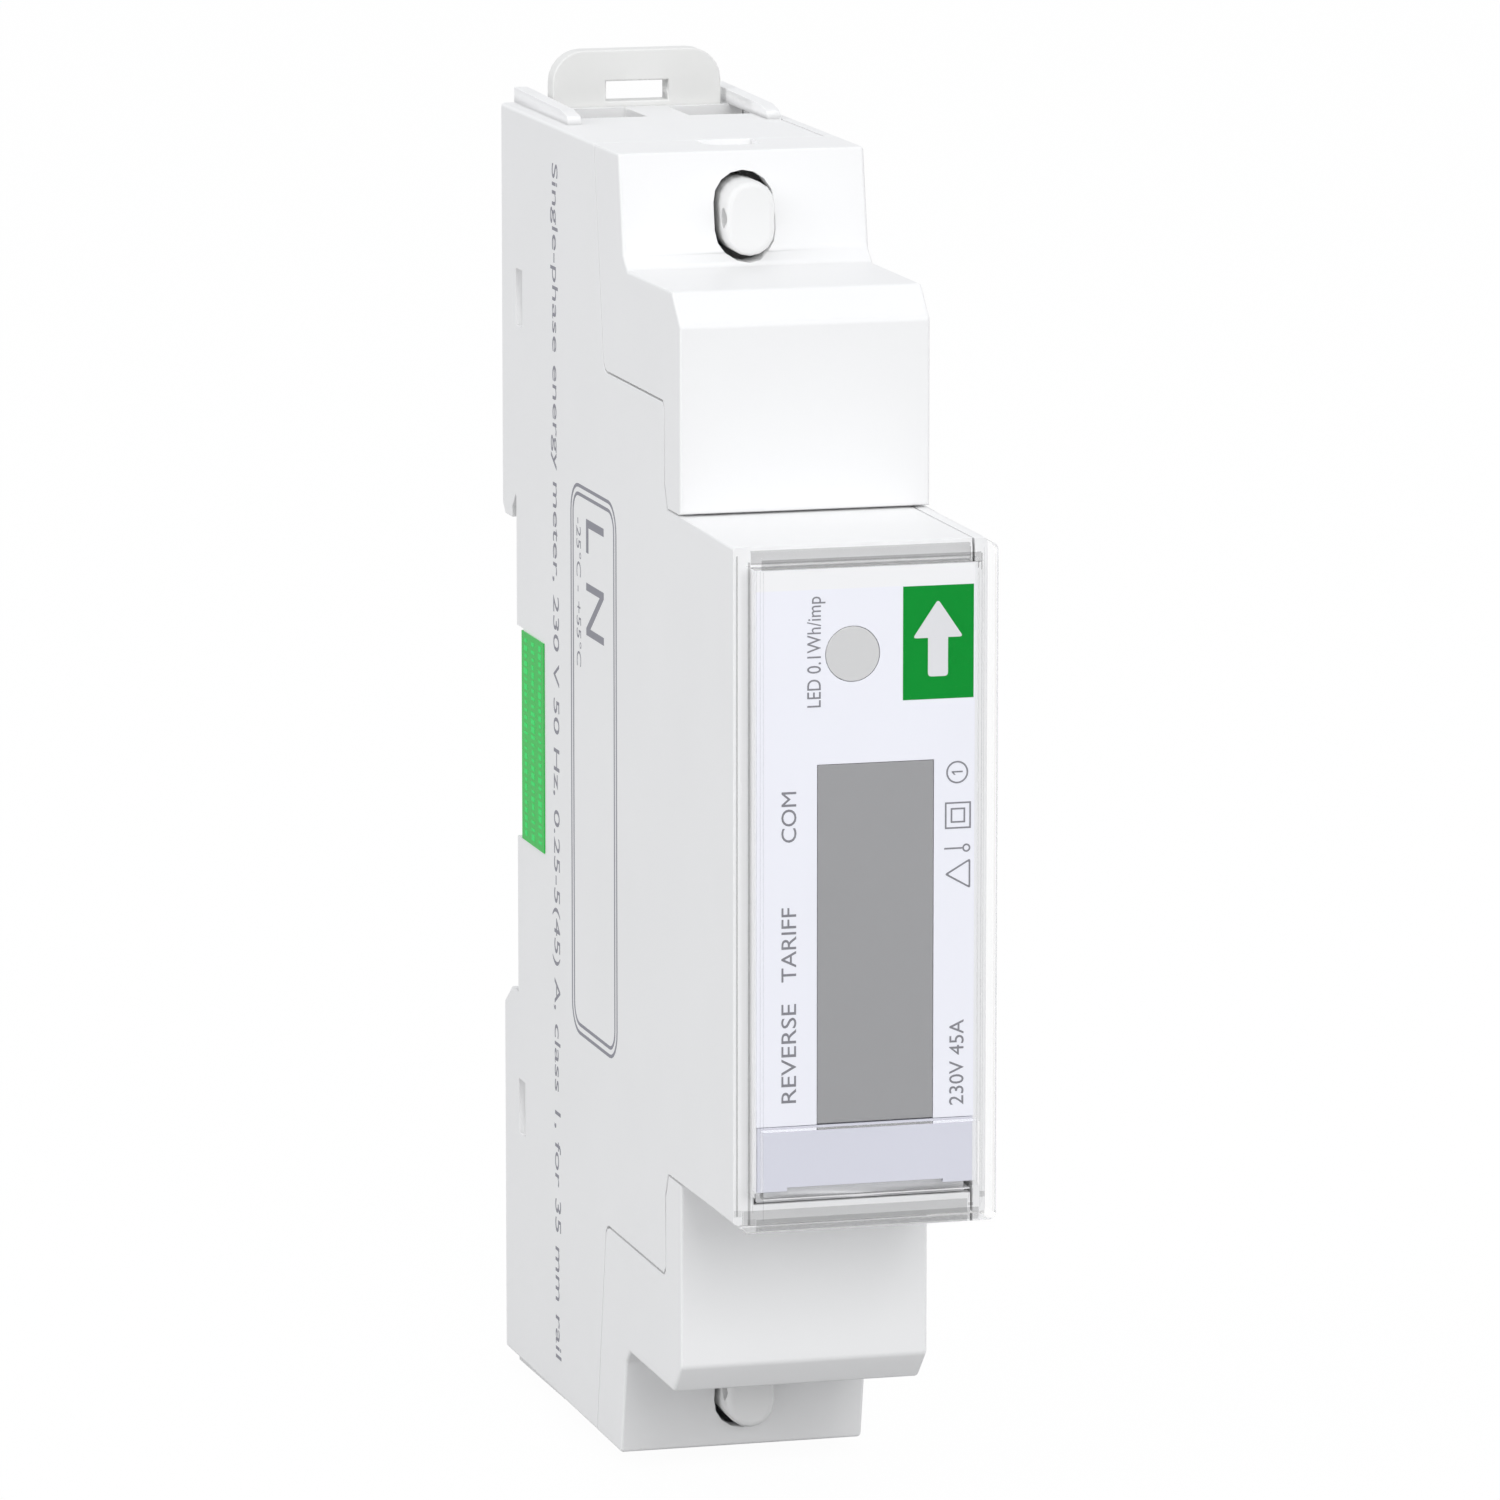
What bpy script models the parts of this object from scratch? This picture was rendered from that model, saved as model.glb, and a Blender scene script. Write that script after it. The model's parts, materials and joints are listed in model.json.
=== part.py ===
"""One-module smart electric meter for a 35 mm rail, built as an assembly of separate pieces.

World frame: +X to the right seen from the front, -Y towards the front, +Z up, in metres.
The origin lies on the plane that the rail's face rests on, on the rail's centre line, at
mid-width.  The sizes below are millimetres in the meter's own frame: y = 0 is the rear
face, the front is towards -y, and z = 0 is the body's mid-height.
"""
import math

import bmesh
import bpy
from mathutils import Matrix, Vector

MM = 0.001

# ---------------------------------------------------------------- driving dimensions (mm)
width = 17.5                # one module
height = 91.3               # body, without the clip's tab
wall = 1.4                  # tub walls
side_cover_wall = 0.9
seam_gap = 0.15             # between outer pieces
fit_gap = 0.2               # between inner pieces
layer_gap = 0.02            # under a stuck-on film
edge_radius = 0.25          # outer corners of the moulded pieces

window_height = 45.76       # the block that stands through the panel's 45 mm cut-out
housing_depth = 63.4        # rear face to the rim that carries the clear window
clear_depth = 2.85          # depth of the clear window

# rail seat
rail_height = 35.0
rail_thickness = 1.0
rail_offset = -0.8          # rail centre line below the body's mid-height
rail_recess = 4.2
rail_play = 0.05
seal_pocket_depth = 6.1
seal_pocket = (-6.9, 8.46)
rear_cavity_depth = 7.6
hook_overlap = 1.3          # hook behind the rail's lower edge
hook_width = 10.0
hook_play = 0.3             # behind the rail's flange

# terminal end: heights are measured down from the end face
partition_drop = 15.55
slope_depth = 33.4
slope_lean = 1.3
slope_drop = 6.8
foot_depth = 1.2
shoulder_drop = 7.75
shoulder_depth = 49.8
shoulder_chamfer = 2.1
cover_wall = 1.3
seam_depth = 26.7
seam_lean = 2.5
seam_corner = 1.0
plate_room = 2.8            # between the cover's front wall and the housing
plate_lean = 0.8
pry_recess = (4.0, 3.4, 0.7)    # width, length, depth
pry_x = 0.5

# wire entries, clamps and bars
live_inset = 3.7            # from the left wall to the live wire
neutral_inset = 2.9         # from the side cover to the neutral wire
entry_width = 5.5
entry_depth = (5.3, 11.5)
block_depth = 26.9
pocket_depth = 19.9
pocket_drop = 5.05
screw_drop = 8.45
cage_side = 0.4
cage_height = 5.8
cage_depth = (5.6, 15.4)
cage_rear_wall = 0.9
cage_front_wall = 2.1
cage_bore_wall = 0.6        # beside the screw's thread
bar_thickness = 1.0
bar_depth = 11.4
bar_end = 10.2              # bar's reach past the partition
shunt_half = 6.8
head_step = 0.3             # screw head's radius over its thread
head_height = 2.2
driver_slot = (0.8, 1.1)    # width, depth

# seal posts
post_size = (3.5, 5.2)
post_hole = (4.3, 6.2)
post_drop = 4.45
post_proud = 2.8            # past the cover's sloping face, at the end face
wire_hole = 1.4

# rail clip and its spring
clip_x = 0.15
clip_width = 12.4
clip_thickness = 1.6
clip_depth = 3.0            # rear face to the clip's rear side
clip_rise = 4.05            # tab above the end face
clip_corner = 2.3
clip_slot = (4.5, 1.4)
clip_slot_rise = 0.4
clip_travel = 3.0
clip_overlap = 1.4          # lip behind the rail's edge
clip_foot_height = 2.4
clip_play = 0.4             # plate's lower edge above the rail
spring_diameter = 3.0
spring_wire = 0.45
spring_length = 7.8
spring_turns = 7
spring_window = 4.0
spring_rise = 8.3           # rail's upper edge to the spring's seat
stop_height = 1.4
stop_half_width = 1.6

# lips on the end faces, marks in the side
lip_outer = 7.75
lip_thickness = 1.0
lip_height = 1.1
lip_length = 16.0
side_slot_depth = 0.6
side_slot = (4.3, 6.15)
side_slots = ((30.2, 34.25), (-28.75, -24.8))

# front
clear_side = 0.9
clear_top = 1.25
clear_bottom = 2.3
pane = 0.8
bezel_proud = 1.2           # in front of the tub's rim
bezel_flange = 1.1
bezel_plate = 1.7
bezel_wall = 0.9
bezel_skirt = 9.6
label_film = 0.15           # with its glue
lcd_x = (-3.33, 4.66)
lcd_height = 24.25
lcd_border = 1.2
lcd_glass = 1.6
guide_centre = (-0.93, 15.67)
guide_radius = 1.85
guide_collar = 0.6
key_height = 4.3
key_plate = 0.6
key_relief = (5.4, 0.25)    # half-width and height of the notch under the key
key_stem = (5.4, 1.0)       # half-width and half-height
button_radius = 0.9
switch_height = 3.2

# boards and the parts' standoff from them
board_thickness = 1.2
board_margin = 1.1          # from the tub's walls
display_board_inset = 0.6   # in front of the bezel's rear edge
display_board_thickness = 1.0
main_board_rear = 14.0
tongue_half = 9.0
standoff = 0.1

# ---------------------------------------------------------------- derived positions (mm)
half_width = width / 2
half_height = height / 2
window_half = window_height / 2
plate_depth = shoulder_depth - cover_wall - plate_room
post_depth = slope_depth + post_proud
inner_left = -half_width + wall
tub_right = half_width - side_cover_wall - seam_gap
inner_right = half_width - side_cover_wall
partition_top = half_height - partition_drop
chamber_top = half_height - wall
shoulder_z = half_height - shoulder_drop
screw_z = half_height - screw_drop
post_z = half_height - post_drop
rail_low = rail_offset - rail_height / 2
rail_high = rail_offset + rail_height / 2
hook_face = rail_recess - rail_thickness - hook_play
clip_front = clip_depth + clip_thickness
spring_seat = rail_high + spring_rise
terminal_x = {"live": inner_left + live_inset, "neutral": inner_right - neutral_inset}
cage_width = entry_width - 2 * fit_gap
bar_width = cage_width - 2 * cage_side - 2 * fit_gap
thread_radius = cage_width / 2 - cage_bore_wall
head_radius = thread_radius + head_step
bezel_front = housing_depth + bezel_proud
bezel_inner = bezel_front - bezel_plate
bezel_rear = bezel_front - bezel_skirt
bezel_half_width = -inner_left - seam_gap
bezel_half_height = window_half - wall - seam_gap
bezel_room = (bezel_half_width - bezel_wall, bezel_half_height - bezel_wall)
label_plane = bezel_front + label_film
label_top = window_half - clear_top - 0.08
key_low = -window_half + clear_bottom + 0.18
key_z = (key_low, key_low + key_height)
key_half_width = half_width - clear_side - 0.5
stem_z = key_low + key_height / 2 - 0.35
lcd_z = (key_z[1] + seam_gap, key_z[1] + seam_gap + lcd_height)
display_board_rear = bezel_rear + display_board_inset
display_face = display_board_rear + display_board_thickness
board_face = inner_left + board_margin / 2 + board_thickness
board_low = board_face + standoff
main_board_y = (-plate_depth + wall + board_margin, -main_board_rear)
main_board_half = partition_top - wall - board_margin

ENDS = {"top": 1, "bottom": -1}


# ---------------------------------------------------------------- outlines
def mirrored(points, side):
    """The outline on the other end of the meter, where side is -1."""
    return [(a, side * b) for a, b in points]


def circle(centre, radius, sides):
    """Points of a circle."""
    turn = 2 * math.pi / sides
    return [(centre[0] + radius * math.cos(i * turn), centre[1] + radius * math.sin(i * turn))
            for i in range(sides)]


def arc(centre, radius, start, end, steps):
    """Points of an arc, angles in degrees."""
    points = []
    for i in range(steps + 1):
        angle = math.radians(start + (end - start) * i / steps)
        points.append((centre[0] + radius * math.cos(angle), centre[1] + radius * math.sin(angle)))
    return points


def rectangle(a, b):
    """Four corners from two (low, high) pairs."""
    return [(a[0], b[0]), (a[1], b[0]), (a[1], b[1]), (a[0], b[1])]


def rounded(a, b, radius, steps=3, corners=(True, True, True, True)):
    """A rectangle with round corners, in the order low-low, high-low, high-high, low-high."""
    centres = ((a[0] + radius, b[0] + radius), (a[1] - radius, b[0] + radius),
               (a[1] - radius, b[1] - radius), (a[0] + radius, b[1] - radius))
    points = []
    for i, (centre, corner) in enumerate(zip(centres, rectangle(a, b))):
        points += arc(centre, radius, 180 + 90 * i, 270 + 90 * i, steps) if corners[i] else [corner]
    return points


def upright_slot(centre, size, steps=8):
    """An obround, taller than wide."""
    radius = size[0] / 2
    reach = size[1] / 2 - radius
    return (arc((centre[0], centre[1] + reach), radius, 0, 180, steps)
            + arc((centre[0], centre[1] - reach), radius, 180, 360, steps))


def inset(path, distance):
    """An open path moved sideways to its left by a distance, with mitred corners."""
    normals = []
    for (ax, ay), (bx, by) in zip(path, path[1:]):
        length = math.hypot(bx - ax, by - ay)
        normals.append((-(by - ay) / length, (bx - ax) / length))
    moved = []
    for i, (px, py) in enumerate(path):
        before = normals[max(i - 1, 0)]
        after = normals[min(i, len(normals) - 1)]
        scale = distance / (1 + before[0] * after[0] + before[1] * after[1])
        moved.append((px + (before[0] + after[0]) * scale, py + (before[1] + after[1]) * scale))
    return moved


def seam():
    """The line (y, z) where housing and terminal cover meet, from the end face to the window."""
    low = seam_depth + seam_lean
    corner = (-low - seam_corner, partition_top + seam_corner)
    return ([(-seam_depth, half_height)]
            + arc(corner, seam_corner, 0, -90, 3)
            + [(-plate_depth + 0.5, partition_top), (-plate_depth, partition_top - 0.5),
               (-plate_depth, window_half + 2 * plate_lean), (-plate_depth - plate_lean, window_half)])


def cover_face():
    """The terminal cover's outer line (y, z), from the end face to the window."""
    lean = slope_depth + slope_lean
    foot = half_height - slope_drop
    return [(-slope_depth, half_height), (-lean, foot), (-lean - foot_depth, shoulder_z),
            (-shoulder_depth + shoulder_chamfer, shoulder_z),
            (-shoulder_depth, shoulder_z - shoulder_chamfer),
            (-shoulder_depth, window_half + seam_gap)]


def housing_outline():
    """Side profile (y, z) shared by the tub and the side cover."""
    front = seam() + [(-housing_depth, window_half)]
    lower = [(y, -z) for y, z in reversed(front)]
    ledge = rail_low - rail_play
    rear = [(0, -half_height), (0, ledge - 1.6), (-2.4, ledge), (-rail_recess, ledge),
            (-rail_recess, seal_pocket[0]), (-seal_pocket_depth, seal_pocket[0]),
            (-seal_pocket_depth, seal_pocket[1]), (-rail_recess, seal_pocket[1]),
            (-rail_recess, rail_high + 1.0), (-rail_recess + 0.2, rail_high + 1.2),
            (-hook_face, rail_high + 0.2), (-hook_face, rail_high - 0.6),
            (-0.9, rail_high - 0.6), (0, rail_high + 0.3), (0, half_height)]
    return front + lower + rear


# ---------------------------------------------------------------- solids
def prism(outline, axis, span):
    """A closed bmesh: an outline swept along one axis between two places."""
    order = {"x": lambda a, b, c: (c, a, b), "y": lambda a, b, c: (a, c, b),
             "z": lambda a, b, c: (a, b, c)}[axis]
    bm = bmesh.new()
    rows = [[bm.verts.new(order(a, b, c)) for a, b in outline] for c in span]
    bm.faces.new(rows[0])
    bm.faces.new(rows[1])
    for i in range(len(outline)):
        j = (i + 1) % len(outline)
        bm.faces.new((rows[0][i], rows[0][j], rows[1][j], rows[1][i]))
    bmesh.ops.recalc_face_normals(bm, faces=bm.faces)
    return bm


def box(x, y, z):
    """A box from three (low, high) pairs."""
    return prism(rectangle(y, z), "x", x)


def turned(profile, centre, sides):
    """A solid turned about a line along y; profile holds (y, radius), radius 0 at both ends."""
    bm = bmesh.new()
    rings = []
    for y, radius in profile:
        if radius == 0:
            rings.append([bm.verts.new((centre[0], y, centre[1]))])
        else:
            rings.append([bm.verts.new((x, y, z)) for x, z in circle(centre, radius, sides)])
    for near, far in zip(rings, rings[1:]):
        for i in range(sides):
            j = (i + 1) % sides
            corners = [near[i % len(near)], near[j % len(near)], far[j % len(far)], far[i % len(far)]]
            bm.faces.new(list(dict.fromkeys(corners)))
    bmesh.ops.recalc_face_normals(bm, faces=bm.faces)
    return bm


def soften(bm, chosen, radius=edge_radius, steps=2):
    """Round the edges for which chosen(start, end) is true."""
    edges = [e for e in bm.edges if chosen(e.verts[0].co, e.verts[1].co)]
    bmesh.ops.bevel(bm, geom=edges, offset=radius, segments=steps, profile=0.5,
                    affect="EDGES", clamp_overlap=True)
    return bm


def mesh_of(bm, name, origin):
    """A mesh in metres, measured from the origin given in millimetres."""
    bm.transform(Matrix.Scale(MM, 4) @ Matrix.Translation(-Vector(origin)))
    mesh = bpy.data.meshes.new(name)
    bm.to_mesh(mesh)
    bm.free()
    return mesh


def finish(name, colour, roughness, metallic=0.0, alpha=1.0):
    """The piece's own material."""
    material = bpy.data.materials.new(name)
    material.use_nodes = True
    shader = material.node_tree.nodes["Principled BSDF"]
    shader.inputs["Base Color"].default_value = (*colour, 1.0)
    shader.inputs["Roughness"].default_value = roughness
    shader.inputs["Metallic"].default_value = metallic
    shader.inputs["Alpha"].default_value = alpha
    material.diffuse_color = (*colour, alpha)
    return material


def combine(piece, tool, operation):
    """Cut a tool's shape from a piece, or join it on, with a live Boolean."""
    number = len(piece.modifiers) + 1
    cutter = bpy.data.objects.new(f"tool_{piece.name}_{number}", mesh_of(tool, "tool", (0, 0, 0)))
    bpy.context.scene.collection.objects.link(cutter)
    cutter.parent = frame
    cutter.hide_render = True
    cutter.display_type = "WIRE"
    modifier = piece.modifiers.new(f"{operation.lower()}_{number}", "BOOLEAN")
    modifier.operation = operation
    modifier.solver = "EXACT"
    modifier.object = cutter


def piece(name, bm, material, cuts=(), joins=(), origin=(0, 0, 0), round_piece=False):
    """Place one named piece in the meter's frame."""
    mesh = mesh_of(bm, name, origin)
    if round_piece:
        mesh.shade_smooth()
        mesh.set_sharp_from_angle(angle=math.radians(35))
    obj = bpy.data.objects.new(name, mesh)
    bpy.context.scene.collection.objects.link(obj)
    obj.parent = frame
    obj.location = Vector(origin) * MM
    mesh.materials.append(material)
    for tool in joins:
        combine(obj, tool, "UNION")
    for tool in cuts:
        combine(obj, tool, "DIFFERENCE")
    return obj


# ---------------------------------------------------------------- housing
def on_outline(start, end, face_x):
    """True for an edge of the side profile on the outer side face, away from the seams."""
    if abs(start.x - face_x) > 0.01 or abs(end.x - face_x) > 0.01:
        return False
    level_end = abs(abs(start.z) - half_height) < 0.01 and abs(start.z - end.z) < 0.01
    level_window = abs(abs(start.z) - window_half) < 0.01 and abs(start.z - end.z) < 0.01
    upright_rear = abs(start.y) < 0.01 and abs(end.y) < 0.01
    return level_end or level_window or upright_rear


def lip(x, side):
    """One of the low ribs that guard the clip's tab and the wire entries."""
    end = side * half_height
    top = end + side * lip_height
    outline = [(0, end - side), (0, top), (-lip_length + 2.5, top - side * 0.2),
               (-lip_length + 0.6, top - side * 0.5), (-lip_length, end - side)]
    return prism(outline, "x", (x, x + lip_thickness))


def bar_slot(x):
    """The passage of a bar through both partitions."""
    return box((x - bar_width / 2 - fit_gap, x + bar_width / 2 + fit_gap),
               (-bar_depth - bar_thickness - fit_gap, -bar_depth + fit_gap),
               (-partition_top - 1, partition_top + 1))


def housing_shell():
    """The tub: left wall, end walls, rear wall, partitions and the window block's walls."""
    plastic = finish("housing_shell", (0.86, 0.86, 0.85), 0.42)
    outline = housing_outline()
    tub = prism(outline, "x", (-half_width, tub_right))
    soften(tub, lambda a, b: on_outline(a, b, -half_width))
    through = half_width + 1
    board_half = partition_top - wall
    neck = plate_depth - wall
    rim = window_half - wall
    main = [(-rear_cavity_depth, board_half), (-neck, board_half), (-neck, rim),
            (-housing_depth - 1, rim), (-housing_depth - 1, -rim), (-neck, -rim),
            (-neck, -board_half), (-rear_cavity_depth, -board_half)]
    cuts = [prism(main, "x", (inner_left, through))]
    channel = (clip_x - clip_width / 2 - seam_gap, clip_x + clip_width / 2 + seam_gap)
    foot_top = clip_foot_top() + clip_travel + 1.0
    for name, side in ENDS.items():
        chamber = mirrored(rectangle((-slope_depth, -entry_depth[0]), (partition_top, chamber_top)), side)
        cuts.append(prism(chamber, "x", (inner_left, through)))
        for wire, x in terminal_x.items():
            mouth = min(x + entry_width / 2, lip_outer - lip_thickness)
            depth = (-entry_depth[1], -entry_depth[0])
            ends = sorted((side * (chamber_top - 1), side * (half_height + 1)))
            cuts.append(prism(rectangle((x - entry_width / 2, mouth), depth), "z", ends))
            if wire == "neutral":      # open to the side plate, under the lip that bridges it
                ends = sorted((side * (chamber_top - 1), side * half_height))
                cuts.append(prism(rectangle((mouth - 0.1, through), depth), "z", ends))
    for x in terminal_x.values():
        cuts.append(bar_slot(x))
    cuts.append(box(channel, (-clip_front - 0.1, -clip_depth + 0.1), (rail_high - 2, half_height + 2)))
    cuts.append(box(channel, (-clip_front - 0.1, 1), (rail_high - 2, foot_top)))
    groove = circle((clip_x, -clip_depth), spring_diameter / 2 + fit_gap, 20)
    cuts.append(prism(groove, "z", (foot_top - 1, spring_seat + 0.1 + spring_length + fit_gap)))
    for low, high in side_slots:
        cuts.append(box((-through, -half_width + side_slot_depth), (-side_slot[1], -side_slot[0]),
                        (low, high)))
    ledge = rail_low - rail_play
    tip = ledge + hook_overlap
    hook = [(-0.8, ledge - 3), (-hook_face, ledge - 3), (-hook_face, tip - 0.5), (-hook_face + 0.5, tip),
            (-1.7, tip), (-0.8, tip - 1.3)]
    joins = [prism(hook, "x", (clip_x - hook_width / 2, clip_x + hook_width / 2))]
    for side in ENDS.values():
        joins += [lip(-lip_outer, side), lip(lip_outer - lip_thickness, side)]
    shell = piece("housing_shell", tub, plastic, cuts=cuts, joins=joins)
    stop = box((clip_x - stop_half_width, clip_x + stop_half_width),
               (-clip_front - 0.4, -clip_depth + 0.6),
               (stop_base(), stop_base() + stop_height))
    combine(shell, stop, "UNION")


def side_cover():
    """The flat plate that closes the tub's right side."""
    plate = prism(housing_outline(), "x", (inner_right, half_width))
    soften(plate, lambda a, b: on_outline(a, b, half_width))
    piece("side_cover", plate, finish("side_cover", (0.86, 0.86, 0.85), 0.42))


# ---------------------------------------------------------------- terminal ends
def terminal_block(name, side):
    """Insulator that holds two clamps, their screws' tunnels and the seal post."""
    low, high = partition_top + seam_gap, chamber_top - seam_gap
    left, right = inner_left + seam_gap, tub_right - 0.1
    block = prism(mirrored(rectangle((-block_depth, -entry_depth[0] - 0.1), (low, high)), side), "x",
                  (left, right))
    pocket_top = half_height - pocket_drop
    cuts = []
    for wire, x in terminal_x.items():
        end = half_width if wire == "neutral" else x + entry_width / 2
        across = (x - entry_width / 2, end)
        cuts.append(box(across, (-pocket_depth, 0), sorted((side * (low - 1), side * pocket_top))))
        cuts.append(box(across, (-entry_depth[1], 0), sorted((side * (low - 1), side * (high + 1)))))
        axis = (x, side * screw_z)
        cuts.append(prism(circle(axis, head_radius + fit_gap, 24), "y",
                          (-pocket_depth - head_height - 0.8, -pocket_depth + 1)))
        cuts.append(prism(circle(axis, head_radius - fit_gap, 24), "y",
                          (-block_depth - 1, -pocket_depth)))
    post = prism(upright_slot((0, side * post_z), post_size), "y", (-post_depth, -block_depth + 1))
    soften(post, lambda a, b: a.y < -post_depth + 0.01 and b.y < -post_depth + 0.01, 0.5, 2)
    hole_y = -slope_depth - slope_lean * (post_drop / slope_drop) - wire_hole / 2 - 0.25
    cuts.append(prism(circle((hole_y, side * post_z), wire_hole / 2, 12), "x", (-5, 5)))
    piece(name, block, finish(name, (0.83, 0.83, 0.82), 0.45), cuts=cuts, joins=[post])


def terminal_cover(name, side):
    """Pull-off cover over the screws, held by a seal wire through the post."""
    face = cover_face()
    rear = [(y - seam_gap, z + seam_gap) for y, z in seam()]
    rear[0] = (rear[0][0], half_height)
    outline = mirrored(face + rear[::-1], side)
    shell = prism(outline, "x", (-half_width, half_width))
    seam_corners = {(round(y, 3), round(side * z, 3)) for y, z in rear}
    outer = {(round(y, 3), round(side * z, 3)) for y, z in face + rear[:1]}

    def outer_edge(start, end):
        """True for the cover's own outer edges, away from its seam."""
        corners = {(round(v.y, 3), round(v.z, 3)) for v in (start, end)}
        across = len(corners) == 1 and not corners & seam_corners
        along = abs(start.x - end.x) < 0.01
        return corners <= outer and (along or across)

    soften(shell, outer_edge)
    skin = inset([(0, half_height)] + face, cover_wall)
    skin[-1] = (skin[-1][0], window_half + seam_gap + cover_wall)
    hollow = mirrored(skin + [(0, skin[-1][1])], side)
    inner = half_width - cover_wall
    cuts = [prism(hollow, "x", (-inner, inner)),
            prism(upright_slot((0, side * post_z), post_hole), "y", (-shoulder_depth, -block_depth))]
    across = (pry_x - pry_recess[0] / 2, pry_x + pry_recess[0] / 2)
    along = (-seam_depth - seam_gap - pry_recess[1], -seam_depth + 1)
    pry = rounded(across, along, 1.2, corners=(True, True, False, False))
    cuts.append(prism(pry, "z", sorted((side * (half_height - pry_recess[2]), side * (half_height + 1)))))
    piece(name, shell, finish(name, (0.86, 0.86, 0.85), 0.42), cuts=cuts)


def terminal_cage(name, x, side):
    """Rising clamp: a window for the wire and the bar, and a nut wall for the screw."""
    middle = side * screw_z
    z = (middle - cage_height / 2, middle + cage_height / 2)
    body = box((x - cage_width / 2, x + cage_width / 2), (-cage_depth[1], -cage_depth[0]), z)
    soften(body, lambda a, b: abs(a.x - b.x) < 0.01 and abs(a.y - b.y) < 0.01, 0.4)
    window = box((x - cage_width / 2 + cage_side, x + cage_width / 2 - cage_side),
                 (-cage_depth[1] + cage_front_wall, -cage_depth[0] - cage_rear_wall),
                 (z[0] - 1, z[1] + 1))
    bore = prism(circle((x, middle), thread_radius + 0.05, 24), "y",
                 (-cage_depth[1] - 1, -cage_depth[1] + cage_front_wall + 1))
    piece(name, body, finish(name, (0.72, 0.71, 0.66), 0.32, 1.0), cuts=[window, bore],
          origin=(x, -cage_depth[1], middle))


def terminal_screw(name, x, side):
    """Clamp screw, driven from the front; its tip bears on the bar."""
    tip = -bar_depth - bar_thickness - 0.15
    under = -pocket_depth - fit_gap
    face = under - head_height
    radius, head = thread_radius, head_radius
    profile = [(tip, 0), (tip, radius - 0.5), (tip - 0.5, radius), (under, radius), (under, head),
               (face + 0.3, head), (face, head - 0.3), (face, 0)]
    centre = (x, side * screw_z)
    slot = box((x - head - 1, x + head + 1), (face - 1, face + driver_slot[1]),
               (centre[1] - driver_slot[0] / 2, centre[1] + driver_slot[0] / 2))
    piece(name, turned(profile, centre, 24), finish(name, (0.70, 0.70, 0.70), 0.28, 1.0), cuts=[slot],
          origin=(x, face, centre[1]), round_piece=True)


def bar(name, x, z, material):
    """A flat bar along z."""
    piece(name, box((x - bar_width / 2, x + bar_width / 2), (-bar_depth - bar_thickness, -bar_depth), z),
          material)


def bars_and_shunt():
    """Live bars with the shunt between them, and the straight neutral bar."""
    reach = partition_top + bar_end
    live, neutral = terminal_x["live"], terminal_x["neutral"]
    copper = (0.72, 0.43, 0.30)
    for name, side in ENDS.items():
        span = sorted((side * (shunt_half + fit_gap), side * reach))
        bar(f"live_bar_{name}", live, span, finish(f"live_bar_{name}", copper, 0.35, 1.0))
    bar("neutral_bar", neutral, (-reach, reach), finish("neutral_bar", copper, 0.35, 1.0))
    strip = box((live - bar_width / 2, live + bar_width / 2), (-bar_depth - bar_thickness, -bar_depth),
                (-shunt_half, shunt_half))
    pins = [box((board_low, board_low + 0.5), (main_board_y[1] - 1.5, -bar_depth - 0.2),
                (z - 0.4, z + 0.4)) for z in (1.4 - shunt_half, shunt_half - 1.4)]
    piece("current_shunt", strip, finish("current_shunt", (0.50, 0.44, 0.38), 0.4, 1.0), joins=pins)


# ---------------------------------------------------------------- rail clip
def clip_foot_bottom():
    """Lower edge of the clip's plate, just above the rail."""
    return rail_high + clip_play


def clip_foot_top():
    """Upper edge of the clip's foot."""
    return clip_foot_bottom() + clip_foot_height


def stop_base():
    """Lower side of the housing's stop, which carries the spring's upper end."""
    return spring_seat + 0.1 + spring_length + fit_gap


def din_clip():
    """Sliding clip: tab with a tool slot on top, spring window, and a lip that takes the rail."""
    x = (clip_x - clip_width / 2, clip_x + clip_width / 2)
    top = half_height + clip_rise
    plate = prism(rounded(x, (clip_foot_bottom(), top), clip_corner, 6, (False, False, True, True)), "y",
                  (-clip_front, -clip_depth))
    tip = rail_high - clip_overlap
    foot = [(-clip_depth - 0.5, clip_foot_bottom()), (-clip_depth - 0.5, clip_foot_top()),
            (-1.2, clip_foot_top()), (-1.2, tip + 1.2), (-2.0, tip), (-hook_face, tip),
            (-hook_face, clip_foot_bottom())]
    seat = prism(circle((clip_x, -clip_depth), spring_diameter / 2 - 0.1, 20), "z",
                 (spring_seat - 1.3, spring_seat))
    slot_low = half_height + clip_slot_rise
    slot = box((clip_x - clip_slot[0] / 2, clip_x + clip_slot[0] / 2), (-clip_front - 1, 0),
               (slot_low, slot_low + clip_slot[1]))
    window = box((clip_x - spring_window / 2, clip_x + spring_window / 2),
                 (-clip_front - 1, -clip_depth + 0.05),
                 (spring_seat, stop_base() + stop_height + 0.15))
    piece("din_clip", plate, finish("din_clip", (0.80, 0.80, 0.79), 0.45), cuts=[slot, window],
          joins=[prism(foot, "x", x), seat], origin=(clip_x, -clip_depth, spring_seat))


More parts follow.
